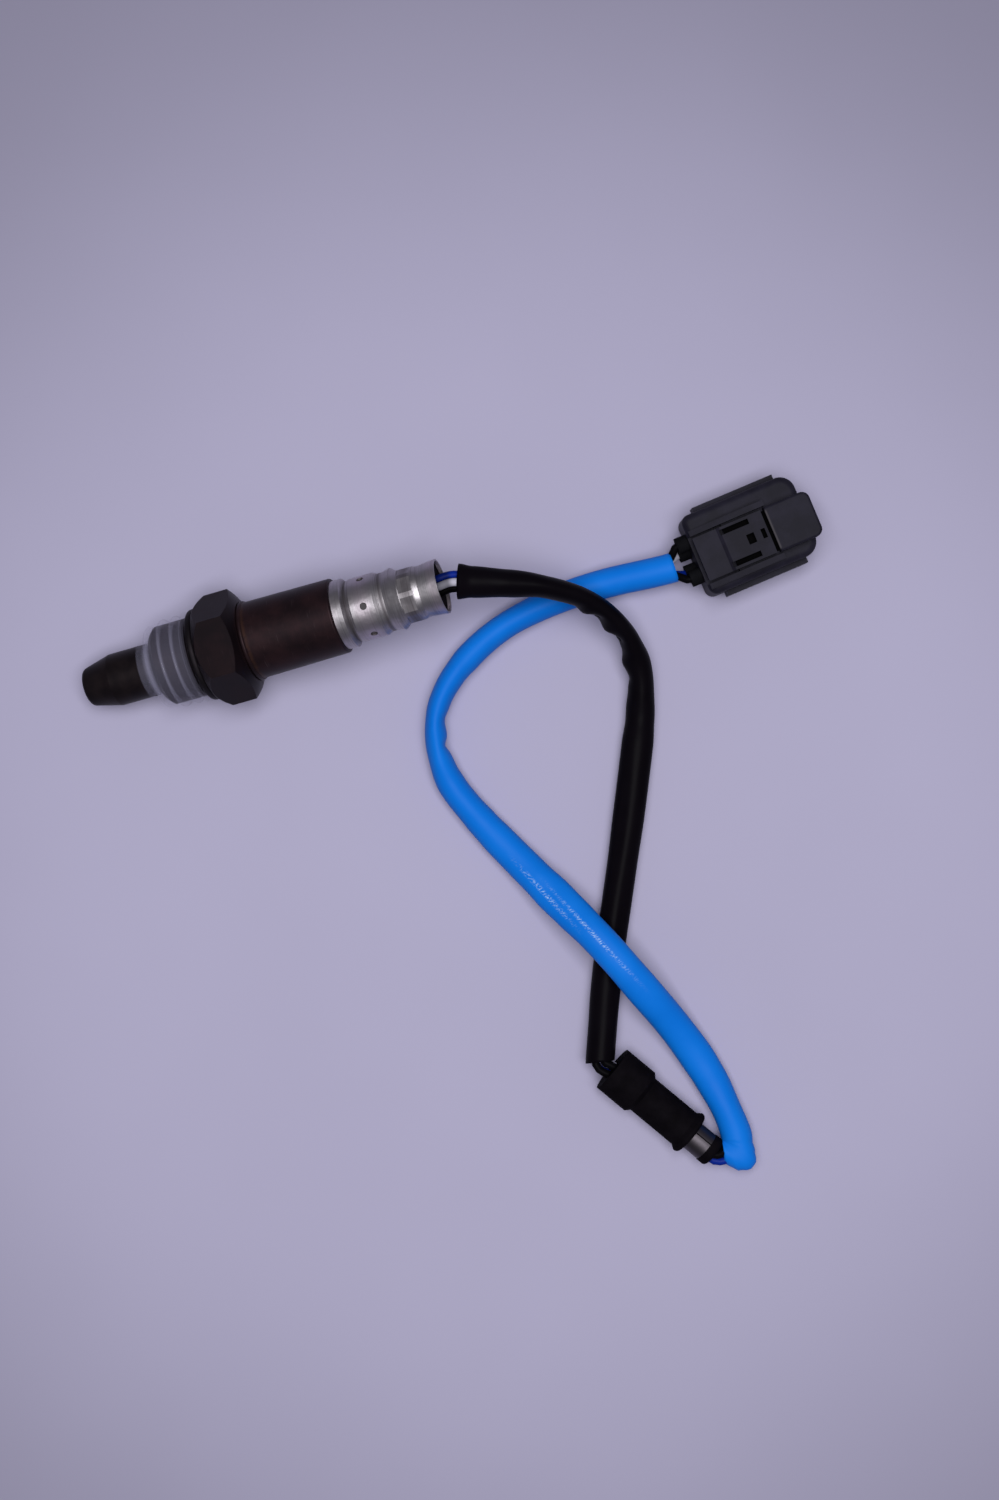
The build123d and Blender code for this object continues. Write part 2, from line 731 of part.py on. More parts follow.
def strand(side, lift, row_half, cavity_height):
    """One wire: the shared route moved aside, then fanned out to its cavity in the plug.

    The bundle starts turned as in the sensor, lies level at the grommet, and turns over by half a
    turn inside the blue sleeving.
    """
    start = radians(wire_roll)
    start_shift = Vector(0, 1, 0) * (side * cos(start) - lift * sin(start))
    start_shift += upward * (side * sin(start) + lift * cos(start))
    points = [route[0] + start_shift]
    radii = []
    for index in range(1, len(route) - 1):
        arriving = (route[index] - route[index - 1]).normalized()
        leaving = (route[index + 1] - route[index]).normalized()
        square_to = leaving if index == entry_index else arriving
        left = Vector(0, 0, 1).cross(square_to).normalized()
        above = square_to.cross(left)
        levelled = min(max((entry_index - index) / (entry_index - 1), 0), 1)
        turned_over = min(max((index - fold_index) / (len(blue_route) - 1), 0), 1)
        roll = start * levelled + pi * turned_over
        shift = left * (side * cos(roll) - lift * sin(roll)) + above * (side * sin(roll) + lift * cos(roll))
        inward = (leaving - arriving).normalized()
        inside = (inward - square_to * square_to.dot(inward)).normalized()
        share = shift.dot(inside)
        stretch = share / cos(turn_at(route, index) / 2)
        points.append(route[index] + shift + inward * stretch - inside * share)
        radii.append(route_radii[index - 1] - share)
    fan = [(-fan_start, -side, core_height - lift), (-fan_end, row_half, cavity_height),
           (terminal_from, row_half, cavity_height)]
    points += [plug.from_local_coords(Vector(*point)) for point in fan]
    return points, radii + bend_radii(points[-4:], {2: fan_reach})


def tube(path_points, path_radii, outer, bore=0):
    """A round tube, or a round rod, along straight runs joined by tangent arcs."""
    with BuildPart() as swept:
        with BuildLine() as path:
            FilletPolyline(*path_points, radius=path_radii)
        centreline = path.wires()[0]
        with BuildSketch(Plane(origin=centreline @ 0, z_dir=centreline % 0)):
            Circle(outer)
            if bore:
                Circle(bore, mode=Mode.SUBTRACT)
        sweep(path=centreline)
    expected = pi * (outer ** 2 - bore ** 2) * centreline.length
    ratio = swept.part.volume / expected
    print(f"length {centreline.length:.1f}, volume over section times length {ratio:.5f}")
    return swept.part


# ---- Wires ----
outer_row = upper_row_spacing / 2
inner_row = lower_row_spacing / 2
upper_height = core_height + row_pitch / 2
lower_height = core_height - row_pitch / 2
wires = {
    "wire_blue": (wire_offset, wire_offset, -inner_row, lower_height),
    "wire_white": (-wire_offset, wire_offset, inner_row, lower_height),
    "wire_black_1": (wire_offset, -wire_offset, -outer_row, upper_height),
    "wire_black_2": (-wire_offset, -wire_offset, outer_row, upper_height),
}
for label, (side, lift, row_half, cavity_height) in wires.items():
    wire_points, wire_radii = strand(side, lift, row_half, cavity_height)
    print(label, "radii", [round(radius, 1) for radius in wire_radii])
    finish(tube(wire_points, wire_radii, wire_radius), label)

# ---- Sleeving: a black length at the sensor and a blue length at the plug ----
black_start = along(cover_end_at + bare_length)
entry_direction = (route[entry_index] - route[entry_index - 1]).normalized()
black_end = route[entry_index] - entry_direction * (reach_limits[entry_index] + sleeving_margin)
black_points = [black_start] + route[1:entry_index] + [black_end]
black_radii = route_radii[:entry_index - 1]
print("black_sleeving radii", [round(radius, 1) for radius in black_radii])
finish(tube(black_points, black_radii, sleeving_radius, sleeving_bore), "black_sleeving")

fold_exit = (route[fold_index + 1] - route[fold_index]).normalized()
blue_start = route[fold_index] + fold_exit * (bend_share * fold_run + sleeving_margin)
mouth_direction = (route[-1] - route[-2]).normalized()
blue_end = route[-1] - mouth_direction * (blue_bare - fan_start)
blue_points = [blue_start] + route[fold_index + 1:-1] + [blue_end]
blue_radii = route_radii[fold_index:]
print("blue_sleeving radii", [round(radius, 1) for radius in blue_radii])
finish(tube(blue_points, blue_radii, sleeving_radius, sleeving_bore), "blue_sleeving")

# ---- Harness grommet and the band on its neck ----
harness_plane = Plane(origin=harness_start, x_dir=harness_direction, z_dir=(0, 0, 1))
harness_axis = Axis(harness_start, harness_direction)
body_at = collar_length
flange_at = body_at + body_length
neck_at = flange_at + flange_length
end_flange_at = neck_at + neck_length
with BuildPart() as harness_grommet:
    with BuildSketch(harness_plane):
        with BuildLine():
            Polyline(
                (0, 0), (0, collar_radius), (collar_length, collar_radius),
                (body_at + shoulder_slope, body_radius), (flange_at, body_radius),
                (flange_at + shoulder_slope, flange_radius), (neck_at, flange_radius),
                (neck_at, neck_radius), (end_flange_at, neck_radius), (end_flange_at, end_flange_radius),
                (harness_length, end_flange_radius), (harness_length, 0), close=True,
            )
        harness_section = make_face()
        corners = harness_section.vertices()
        flange_corner = corners.sort_by_distance((neck_at, flange_radius))[0]
        end_corner = corners.sort_by_distance((harness_length, end_flange_radius))[0]
        fillet([flange_corner, end_corner], flange_round)
    revolve(axis=harness_axis)
    bore_plane = Plane(origin=harness_start, x_dir=(0, 0, 1), z_dir=harness_direction)
    with BuildSketch(bore_plane):
        with GridLocations(2 * wire_offset, 2 * wire_offset, 2, 2):
            Circle(wire_bore)
    extrude(amount=harness_length, mode=Mode.SUBTRACT)
finish(harness_grommet.part, "harness_grommet")

with BuildPart() as band:
    with BuildSketch(harness_plane):
        with BuildLine():
            Polyline(
                (neck_at + slip_clearance, neck_radius + slip_clearance),
                (neck_at + slip_clearance, band_radius),
                (end_flange_at - slip_clearance, band_radius),
                (end_flange_at - slip_clearance, neck_radius + slip_clearance), close=True,
            )
        make_face()
    revolve(axis=harness_axis)
    seam_plane = Plane(origin=harness_start + harness_direction * neck_at, x_dir=harness_direction,
                       z_dir=(0, 0, 1))
    with BuildSketch(seam_plane):
        with Locations((neck_length / 2, band_seam_offset)):
            Rectangle(neck_length, band_seam_width)
    extrude(amount=band_radius, mode=Mode.SUBTRACT)
finish(band.part, "grommet_band")

# ---- Plug housing ----
cavities = [
    (-outer_row, upper_height), (outer_row, upper_height),
    (-inner_row, lower_height), (inner_row, lower_height),
]


def plug_section(ahead):
    """A plane square to the plug's length, with local x to its left and local y up."""
    return Plane(origin=plug.from_local_coords(Vector(ahead, 0, 0)), x_dir=-plug.y_dir, z_dir=-plug.x_dir)


def plug_side(side):
    """An upright plane along the plug at a distance to its left, with local y up."""
    return Plane(origin=plug.from_local_coords(Vector(0, side, 0)), x_dir=plug.x_dir, z_dir=-plug.y_dir)


plug_length_axis = Axis(plug.origin, plug_direction)
with BuildPart() as housing:
    with BuildSketch(plug):
        with Locations((plug_length / 2, 0)):
            Rectangle(plug_length, plug_width)
        fillet(vertices().group_by(Axis.X)[-1], plug_nose_round)
        fillet(vertices().group_by(Axis.X)[0], plug_rear_round)
    extrude(amount=plug_height)
    fillet(housing.edges().filter_by(plug_length_axis), plug_edge_round)
    with BuildSketch(plug.offset(side_rib_low)):
        with Locations(((side_rib_from + side_rib_to) / 2, 0)):
            Rectangle(side_rib_to - side_rib_from, 2 * side_rib_reach)
    extrude(amount=side_rib_high - side_rib_low)
    with BuildSketch(plug.offset(plug_height - plug_edge_round)):
        with Locations(((hood_from + hood_to) / 2, lever_shift)):
            Rectangle(hood_to - hood_from, hood_width)
        fillet(vertices().group_by(Axis.X)[-1], hood_round)
    extrude(amount=hood_height - plug_height + plug_edge_round)
    fillet(housing.faces().sort_by(Axis.Z)[-1].edges(), hood_edge_round)
    for side in (lever_shift + guard_gap / 2 + guard_wall, lever_shift - guard_gap / 2):
        with BuildSketch(plug_side(side)):
            with BuildLine():
                Polyline(
                    (guard_inset, plug_height - guard_inset), (guard_inset, plug_height + guard_inset),
                    (guard_slope_end, guard_height), (hood_from + guard_inset, guard_height),
                    (hood_from + guard_inset, plug_height - guard_inset), close=True,
                )
            make_face()
        extrude(amount=guard_wall)
    with BuildSketch(plug.offset(plug_height - pad_well)):
        with Locations((lever_root_from / 2, lever_shift)):
            Rectangle(lever_root_from, guard_gap)
    extrude(amount=pad_well, mode=Mode.SUBTRACT)
    pad_end = lever_from + pad_length
    with BuildSketch(plug_side(lever_shift + lever_width / 2)):
        with BuildLine():
            Polyline(
                (lever_from, lever_top - pad_drop), (pad_end, lever_top - pad_drop),
                (pad_end + pad_step, lever_top), (lever_to, lever_top),
                (lever_to, lever_top - lever_thickness), (pad_end + pad_step, lever_top - lever_thickness),
                (lever_from, lever_top - lever_thickness - pad_drop), close=True,
            )
        make_face()
    extrude(amount=lever_width)
    with BuildSketch(plug.offset(plug_height - pad_well)):
        with Locations(((lever_root_from + lever_root_to) / 2, lever_shift)):
            Rectangle(lever_root_to - lever_root_from, lever_root_width)
    extrude(amount=lever_top - lever_thickness / 2 - plug_height + pad_well)
    with BuildSketch(plug.offset(plug_height)):
        with Locations(((slot_from + slot_to) / 2, lever_shift)):
            with GridLocations(1, slot_spacing, 1, 2):
                Rectangle(slot_to - slot_from, slot_width)
        with Locations((square_window_at, lever_shift)):
            Rectangle(*square_window)
        with Locations((bar_window_at, lever_shift)):
            Rectangle(*bar_window)
    extrude(amount=hood_height - plug_height, mode=Mode.SUBTRACT)
    with BuildSketch(plug_section(hood_to)):
        with Locations((-lever_shift, (plug_height + hood_height - hood_wall) / 2)):
            Rectangle(hood_width - 2 * hood_wall, hood_height - hood_wall - plug_height)
    extrude(amount=hood_to - lever_to, mode=Mode.SUBTRACT)
    with BuildSketch(plug_section(plug_length)):
        with Locations((0, core_height)):
            RectangleRounded(plug_width - 2 * shell_wall, plug_height - 2 * shell_wall, plug_edge_round / 2)
            RectangleRounded(block_width, block_height, block_round, mode=Mode.SUBTRACT)
    extrude(amount=mating_depth, mode=Mode.SUBTRACT)
    with BuildSketch(plug_section(plug_length)):
        with Locations((0, core_height)):
            Rectangle(block_width, block_height)
    extrude(amount=plug_length - block_length, mode=Mode.SUBTRACT)
    with BuildSketch(plug_section(block_length)):
        with Locations(*cavities):
            Rectangle(terminal_cavity, terminal_cavity)
    extrude(amount=block_length, mode=Mode.SUBTRACT)
    with BuildSketch(plug_section(seal_bore_depth)):
        with Locations(*cavities):
            Circle(seal_bore_radius)
    extrude(amount=seal_bore_depth, mode=Mode.SUBTRACT)
finish(housing.part, "plug_housing")

# ---- Pieces in the plug ----
with BuildPart() as front_cap:
    with BuildSketch(plug_section(block_length + holder_plate)):
        with Locations((0, core_height)):
            RectangleRounded(block_width, block_height, block_round)
        with Locations(*cavities):
            Rectangle(terminal_socket, terminal_socket, mode=Mode.SUBTRACT)
    extrude(amount=holder_plate)
finish(front_cap.part, "terminal_holder")

with BuildPart() as ring_seal:
    with BuildSketch(plug_section(plug_length - mating_depth + ring_seal_length)):
        with Locations((0, core_height)):
            RectangleRounded(plug_width - 2 * shell_wall - 2 * free_clearance,
                             plug_height - 2 * shell_wall - 2 * free_clearance, plug_edge_round / 2)
            RectangleRounded(block_width + 2 * slip_clearance, block_height + 2 * slip_clearance,
                             block_round, mode=Mode.SUBTRACT)
    extrude(amount=ring_seal_length)
finish(ring_seal.part, "plug_seal")

with BuildPart() as seals:
    with BuildSketch(plug_section(seal_length)):
        with Locations(*cavities):
            Circle(seal_bore_radius - slip_clearance)
    extrude(amount=seal_length + slip_clearance)
    with BuildSketch(plug_section(-slip_clearance)):
        with Locations(*cavities):
            Circle(seal_collar_radius)
    extrude(amount=seal_collar_length)
    with BuildSketch(plug_section(seal_length)):
        with Locations(*cavities):
            Circle(wire_bore)
    extrude(amount=seal_length + slip_clearance + seal_collar_length, mode=Mode.SUBTRACT)
finish(seals.part, "wire_seals")

crimp_end = terminal_from + terminal_crimp_length
terminal_end = block_length - free_clearance
with BuildPart() as terminals:
    with BuildSketch(plug_section(crimp_end)):
        with Locations(*cavities):
            Circle(crimp_radius)
    extrude(amount=terminal_crimp_length)
    with BuildSketch(plug_section(terminal_end)):
        with Locations(*cavities):
            Rectangle(terminal_box, terminal_box)
    extrude(amount=terminal_end - crimp_end)
    with BuildSketch(plug_section(terminal_end)):
        with Locations(*cavities):
            Rectangle(terminal_socket, terminal_socket)
    extrude(amount=socket_depth, mode=Mode.SUBTRACT)
finish(terminals.part, "plug_terminals")
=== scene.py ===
"""Looks of a heated oxygen sensor with its sleeved lead and plug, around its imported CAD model.

Every length is in metres, in the CAD model's frame: +X along the sensor towards its lead, +Z up.
"""

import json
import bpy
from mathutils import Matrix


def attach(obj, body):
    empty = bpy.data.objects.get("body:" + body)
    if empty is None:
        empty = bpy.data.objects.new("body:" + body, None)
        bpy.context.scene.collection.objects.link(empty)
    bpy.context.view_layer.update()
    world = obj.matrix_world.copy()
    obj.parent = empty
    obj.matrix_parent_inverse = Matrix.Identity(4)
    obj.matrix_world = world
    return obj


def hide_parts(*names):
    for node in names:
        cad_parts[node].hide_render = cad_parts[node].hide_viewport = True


bl_info = {
    "name": "Oxygen Sensor",
    "version": (1, 0, 0),
    "blender": (4, 5, 0),
    "location": "3D View > Sidebar > Sensor",
    "description": "Dresses the packed oxygen sensor and lays out its lead",
    "category": "Add Mesh",
}

import bpy
import numpy as np
from bpy.props import FloatProperty, FloatVectorProperty, PointerProperty
from mathutils import Euler, Vector

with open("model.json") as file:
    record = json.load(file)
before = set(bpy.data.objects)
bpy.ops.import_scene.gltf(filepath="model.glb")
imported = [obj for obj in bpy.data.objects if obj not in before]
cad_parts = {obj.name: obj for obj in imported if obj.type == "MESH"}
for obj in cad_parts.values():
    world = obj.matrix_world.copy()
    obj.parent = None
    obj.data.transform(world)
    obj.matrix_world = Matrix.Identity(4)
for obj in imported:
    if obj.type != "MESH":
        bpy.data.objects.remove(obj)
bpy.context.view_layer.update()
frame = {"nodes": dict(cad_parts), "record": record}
NODES = frame["nodes"]
MOUNTS = {mount["name"]: mount for mount in frame["record"]["mounts"]}

MM = 0.001
SLEEVE_RADIUS = 3.5 * MM
SEAT = np.array(MOUNTS["thread"]["pos_m"])
AHEAD = -np.array(MOUNTS["thread"]["axis"])
TILT = float(np.arcsin(AHEAD[2]))
PLUG_FACE = np.array(MOUNTS["plug_face"]["pos_m"])
PLUG_HEADING = float(np.arctan2(*MOUNTS["plug_face"]["axis"][1::-1]))

# The lead's centreline, from the crimps in the sensor to the crimps in the plug.
LEAD_ROUTE = [
    (0.0197, 0.0000, 0.0176), (0.0400, 0.0000, 0.0214), (0.0432, 0.0006, 0.0220),
    (0.0466, -0.0005, 0.0225), (0.0545, -0.0030, 0.0224), (0.0630, -0.0057, 0.0196),
    (0.0734, -0.0118, 0.0142), (0.0796, -0.0220, 0.0080), (0.0792, -0.0336, 0.0038),
    (0.0710, -0.0541, 0.0036), (0.0620, -0.0753, 0.0036), (0.0543, -0.0928, 0.0036),
    (0.0477, -0.1112, 0.0053), (0.0470, -0.1130, 0.0055), (0.0502, -0.1153, 0.0055),
    (0.0662, -0.1383, 0.0055), (0.0676, -0.1401, 0.0055), (0.0731, -0.1393, 0.0048),
    (0.0725, -0.1314, 0.0037), (0.0703, -0.1210, 0.0037), (0.0660, -0.1093, 0.0052),
    (0.0609, -0.0984, 0.0116), (0.0552, -0.0863, 0.0132), (0.0486, -0.0752, 0.0090),
    (0.0420, -0.0640, 0.0040), (0.0356, -0.0526, 0.0036), (0.0302, -0.0406, 0.0036),
    (0.0306, -0.0285, 0.0036), (0.0372, -0.0192, 0.0036), (0.0496, -0.0118, 0.0036),
    (0.0625, -0.0088, 0.0036), (0.0755, -0.0077, 0.0038), (0.0906, -0.0088, 0.0066),
    (0.0950, -0.0085, 0.0066), (0.1048, -0.0072, 0.0066),
]


class LeadSizes(bpy.types.PropertyGroup):
    """Sizes of the wires and their sleeving."""

    wire_radius: FloatProperty(
        name="Wire radius", description="Half the width of one insulated wire", default=0.9 * MM,
        unit="LENGTH", precision=5,
    )
    sleeve_wall: FloatProperty(
        name="Sleeve wall", description="Thickness of the sleeving", default=0.35 * MM,
        unit="LENGTH", precision=5,
    )
    bundle_offset: FloatProperty(
        name="Bundle offset", description="How far each wire sits from the middle of the bundle",
        default=1.05 * MM, unit="LENGTH", precision=5,
    )


class FinishColours(bpy.types.PropertyGroup):
    """Colours of the sensor, its lead and its plug."""

    tinted_steel: FloatVectorProperty(
        name="Tinted steel", description="Hexagon and rear sleeve", subtype="COLOR", size=3,
        default=(0.013, 0.0075, 0.0095), min=0, max=1,
    )
    nose_steel: FloatVectorProperty(
        name="Nose steel", description="Protector cup", subtype="COLOR", size=3,
        default=(0.0078, 0.0056, 0.0070), min=0, max=1,
    )
    cover_steel: FloatVectorProperty(
        name="Cover steel", description="Crimped filter cover", subtype="COLOR", size=3,
        default=(0.40, 0.38, 0.40), min=0, max=1,
    )
    cap_plastic: FloatVectorProperty(
        name="Cap plastic", description="Translucent thread cap", subtype="COLOR", size=3,
        default=(0.66, 0.64, 0.88), min=0, max=1,
    )
    blue_vinyl: FloatVectorProperty(
        name="Blue vinyl", description="Sleeving at the plug", subtype="COLOR", size=3,
        default=(0.002, 0.158, 0.650), min=0, max=1,
    )
    black_vinyl: FloatVectorProperty(
        name="Black vinyl", description="Sleeving at the sensor", subtype="COLOR", size=3,
        default=(0.0028, 0.0021, 0.0034), min=0, max=1,
    )
    plug_plastic: FloatVectorProperty(
        name="Plug plastic", description="Moulded plug housing", subtype="COLOR", size=3,
        default=(0.0100, 0.0092, 0.0155), min=0, max=1,
    )
    floor: FloatVectorProperty(
        name="Floor", description="Plain floor under the part", subtype="COLOR", size=3,
        default=(0.390, 0.368, 0.505), min=0, max=1,
    )


# ---- Shader expressions ----
class Term:
    """One socket in a shader expression. Each operator adds a Math node."""

    def __init__(self, finish, socket):
        self.finish = finish
        self.socket = socket

    def math(self, operation, *values, **settings):
        """Any Math operation with this term as its first value."""
        inputs = dict(enumerate((self,) + values))
        return self.finish.node("ShaderNodeMath", {"operation": operation, **settings}, inputs)

    def __add__(self, other):
        return self.math("ADD", other)

    def __sub__(self, other):
        return self.math("SUBTRACT", other)

    def __rsub__(self, other):
        return self * -1.0 + other

    def __mul__(self, other):
        return self.math("MULTIPLY", other)

    def __pow__(self, other):
        return self.math("POWER", other)

    def __abs__(self):
        return self.math("ABSOLUTE")

    __radd__ = __add__
    __rmul__ = __mul__

    def clip(self):
        """Held between 0 and 1."""
        return self.math("ADD", 0.0, use_clamp=True)

    def step(self, low, high):
        """A smooth step from 0 at low to 1 at high."""
        settings = {"interpolation_type": "SMOOTHSTEP", "clamp": True}
        return self.finish.node("ShaderNodeMapRange", settings, {0: self, 1: low, 2: high})

    def near(self, middle, reach):
        """1 at the middle, fading to 0 at that reach on both sides."""
        return 1 - abs(self - middle).step(0.0, reach)


class Finish:
    """A material put together one node at a time."""

    def __init__(self, name):
        self.material = bpy.data.materials.new(name)
        self.material.use_nodes = True
        self.tree = self.material.node_tree
        self.tree.nodes.clear()
        self.place = self.node("ShaderNodeTexCoord", {}, {}, "Object")

    def node(self, kind, settings, inputs, output=0):
        """Any node: its settings first, then the values or links of its sockets, by name or place."""
        made = self.tree.nodes.new(kind)
        for name, value in settings.items():
            setattr(made, name, value)
        for name, value in inputs.items():
            if isinstance(value, Term):
                self.tree.links.new(value.socket, made.inputs[name])
            else:
                made.inputs[name].default_value = value
        return Term(self, made.outputs[output]) if made.outputs else None

    def turned(self, origin, rotation):
        """Object coordinates from another origin, turned to another frame."""
        inputs = {"Vector": self.place, "Location": tuple(origin), "Rotation": tuple(rotation)}
        return self.node("ShaderNodeMapping", {"vector_type": "TEXTURE"}, inputs)

    def scaled(self, vector, factors):
        """A vector multiplied axis by axis."""
        return self.node("ShaderNodeVectorMath", {"operation": "MULTIPLY"}, {0: vector, 1: factors})

    def parts(self, vector):
        """The x, y and z of a vector."""
        first = self.node("ShaderNodeSeparateXYZ", {}, {0: vector})
        outputs = first.socket.node.outputs
        return [Term(self, outputs[index]) for index in range(3)]

    def noise(self, scale, detail=4.0, roughness=0.55, vector=None):
        """Fractal noise from 0 to 1, with features about 1/scale long."""
        inputs = {"Vector": vector or self.place, "Scale": scale, "Detail": detail, "Roughness": roughness}
        return self.node("ShaderNodeTexNoise", {}, inputs)

    def blend(self, factor, first, second):
        """A colour between two colours."""
        inputs = {0: factor, 6: self.colour(first), 7: self.colour(second)}
        return self.node("ShaderNodeMix", {"data_type": "RGBA"}, inputs, 2)

    def colour(self, value):
        """A colour as a node wants it."""
        return value if isinstance(value, Term) else (*tuple(value)[:3], 1.0)

    def bump(self, height, depth, normal=None):
        """A normal bent by a height of 0 to 1, with its depth in metres."""
        inputs = {"Height": height, "Distance": depth, "Strength": 1.0}
        if normal:
            inputs["Normal"] = normal
        return self.node("ShaderNodeBump", {}, inputs)

    def shader(self, colour, roughness, normal=None, metallic=0.0, **fixed):
        """The surface: what varies is linked, and every fixed value sits on the shader."""
        inputs = {"Base Color": self.colour(colour), "Roughness": roughness, "Metallic": metallic}
        if normal:
            inputs["Normal"] = normal
        for name, value in fixed.items():
            inputs[name.replace("_", " ").title().replace("Ior", "IOR")] = value
        surface = self.node("ShaderNodeBsdfPrincipled", {}, inputs)
        self.node("ShaderNodeOutputMaterial", {}, {"Surface": surface})
        return self.material


# ---- Finishes ----
# Places along the sensor, ahead of its seat or back from it.
NOSE_TIP = (-29 * MM, -24 * MM)
CAP_SHOULDER_AT = -12.6 * MM
CAP_RIBS_AT = (-8.2 * MM, -5.2 * MM)
CAP_RIM_AT = -1.6 * MM
HEXAGON_END = (9.6 * MM, 10.2 * MM)
WELD_AT = 11.4 * MM
# Painted shadow of the cover's rim on the wires: where it ends along the sensor, and its limit to the side.
RIM_SHADOW_END = (57.0 * MM, 58.4 * MM)
RIM_SHADOW_SIDE = (-9 * MM, -8 * MM)
# The cover's bulges, with painted highlight, and creases, with painted shade, along the sensor: the middle of
# each and its reach.
COVER_BULGES = ((38.3 * MM, 3.4 * MM), (31.0 * MM, 1.6 * MM), (54.4 * MM, 1.8 * MM))
COVER_CREASES = ((34.6 * MM, 0.8 * MM), (42.6 * MM, 0.9 * MM), (48.2 * MM, 2.4 * MM))
# The scuffed run of the blue sleeve, and its strips: middle along, half length, middle across, half width.
SCUFF_PLACE = (0.0500, -0.0780, 0.0)
SCUFF_HEADING = -1.08
SCUFF_STRIPS = ((-7.4 * MM, 13 * MM, -1.3 * MM, 0.8 * MM), (6.5 * MM, 19 * MM, 0.5 * MM, 0.7 * MM))
# The plug: along it from its rear, out from the lever's middle, and up from the floor.
PLUG_LENGTH = 26.6 * MM
LEVER_SHIFT = -1.1 * MM
HOOD_REAR = 17.7 * MM
HOOD_EDGE_RISE = (15.6 * MM, 16.3 * MM)
HOOD_EDGE_SIDE = (4.2 * MM, 5.0 * MM)
LEVER_INSIDE_FROM = (6.2 * MM, 6.6 * MM)
LEVER_INSIDE_SIDE = (4.7 * MM, 4.9 * MM)
LEVER_INSIDE_FLOOR = (12.9 * MM, 13.1 * MM)
LEVER_INSIDE_TOP = (14.6 * MM, 15.2 * MM)
FLOOR_MIDDLE = (0.041, -0.060, 0.0)
FLOOR_FALLOFF = (0.09, 0.24)


def shade(colour, factor):
    """A colour made darker or lighter."""
    return tuple(min(1.0, factor * part) for part in colour)


def sensor_place(finish):
    """Coordinates with their origin in the sensor's seat and x along the sensor."""
    return finish.turned(SEAT, (0, -TILT, 0))


def tinted_steel(colours):
    """Heat-tinted turned steel: dark brown with a reddish bloom, fine rings and a golden weld line."""
    finish = Finish("Tinted steel")
    local = sensor_place(finish)
    ahead = finish.parts(local)[0]
    cloud = finish.noise(160, 5, 0.6)
    streak = finish.noise(1, 3, 0.5, finish.scaled(local, (4200, 260, 260)))
    red = finish.blend(cloud.step(0.35, 0.7), colours.tinted_steel, (0.024, 0.0115, 0.0135))
    golden = ahead.near(WELD_AT, 0.7 * MM) * finish.noise(700, 2).step(0.3, 0.6)
    tone = finish.blend(golden * 0.13, red, (0.16, 0.070, 0.028))
    on_hexagon = 1 - ahead.step(*HEXAGON_END)
    darker = finish.blend(on_hexagon * 0.62, tone, (0.0026, 0.0018, 0.0032))
    worn = finish.blend(streak.step(0.62, 0.8) * (0.25 - on_hexagon * 0.12), darker, (0.10, 0.072, 0.078))
    rough = 0.34 + cloud * 0.16 + streak * 0.08
    height = streak * 0.6 + finish.noise(1500, 2) * 0.4
    normal = finish.bump(height, 0.010 * MM)
    return finish.shader(worn, rough, normal, metallic=0.5, specular_ior_level=0.10)


def nose_steel(colours):
    """Smooth dark cup with a faint drawn grain and a dulled tip."""
    finish = Finish("Nose steel")
    ahead = finish.parts(sensor_place(finish))[0]
    cloud = finish.noise(220, 4)
    tip = 1 - ahead.step(*NOSE_TIP)
    tone = finish.blend(cloud.step(0.3, 0.75), colours.nose_steel, (0.0150, 0.0105, 0.0115))
    dulled = finish.blend(tip * 0.5, tone, (0.006, 0.0045, 0.006))
    rough = 0.38 + cloud * 0.12 + tip * 0.12
    normal = finish.bump(finish.noise(1600, 3), 0.008 * MM)
    return finish.shader(dulled, rough, normal, metallic=0.4, specular_ior_level=0.08)


def cover_steel(colours):
    """Drawn steel with fine turned rings, painted highlights on the bulges, painted shade in the creases, and
    shallow dents.
    """
    finish = Finish("Cover steel")
    local = sensor_place(finish)
    ahead = finish.parts(local)[0]
    cloud = finish.noise(300, 4, 0.6)
    rings = finish.noise(1, 3, 0.6, finish.scaled(local, (5200, 60, 60)))
    tone = finish.blend(cloud.step(0.3, 0.8) * 0.5, colours.cover_steel, (0.24, 0.215, 0.23))
    worn = finish.blend(rings.step(0.50, 0.70) * 0.5, tone, (0.10, 0.085, 0.095))
    # Painted highlight on the bulges and painted shade in the creases.
    bulges = sum(ahead.near(middle, reach) for middle, reach in COVER_BULGES)
    bulge_highlighted = finish.blend((bulges * 0.6).clip(), worn, (0.48, 0.42, 0.47))
    creases = sum(ahead.near(middle, reach) for middle, reach in COVER_CREASES)
    crease_shaded = finish.blend((creases * 0.65).clip(), bulge_highlighted, (0.07, 0.060, 0.068))
    rough = 0.34 + rings * 0.10 + cloud * 0.06 + creases * 0.14
    dents = finish.noise(430, 2, 0.4)
    normal = finish.bump(dents, 0.10 * MM, finish.bump(rings, 0.012 * MM))
    return finish.shader(crease_shaded, rough, normal, metallic=1.0)


def plain_steel(name, colour, rough):
    """Pressed or rolled steel with a light grain."""
    finish = Finish(name)
    cloud = finish.noise(420, 4)
    tone = finish.blend(cloud.step(0.35, 0.75) * 0.5, colour, shade(colour, 0.6))
    normal = finish.bump(finish.noise(2600, 3), 0.006 * MM)
    return finish.shader(tone, rough + cloud * 0.12, normal, metallic=1.0)


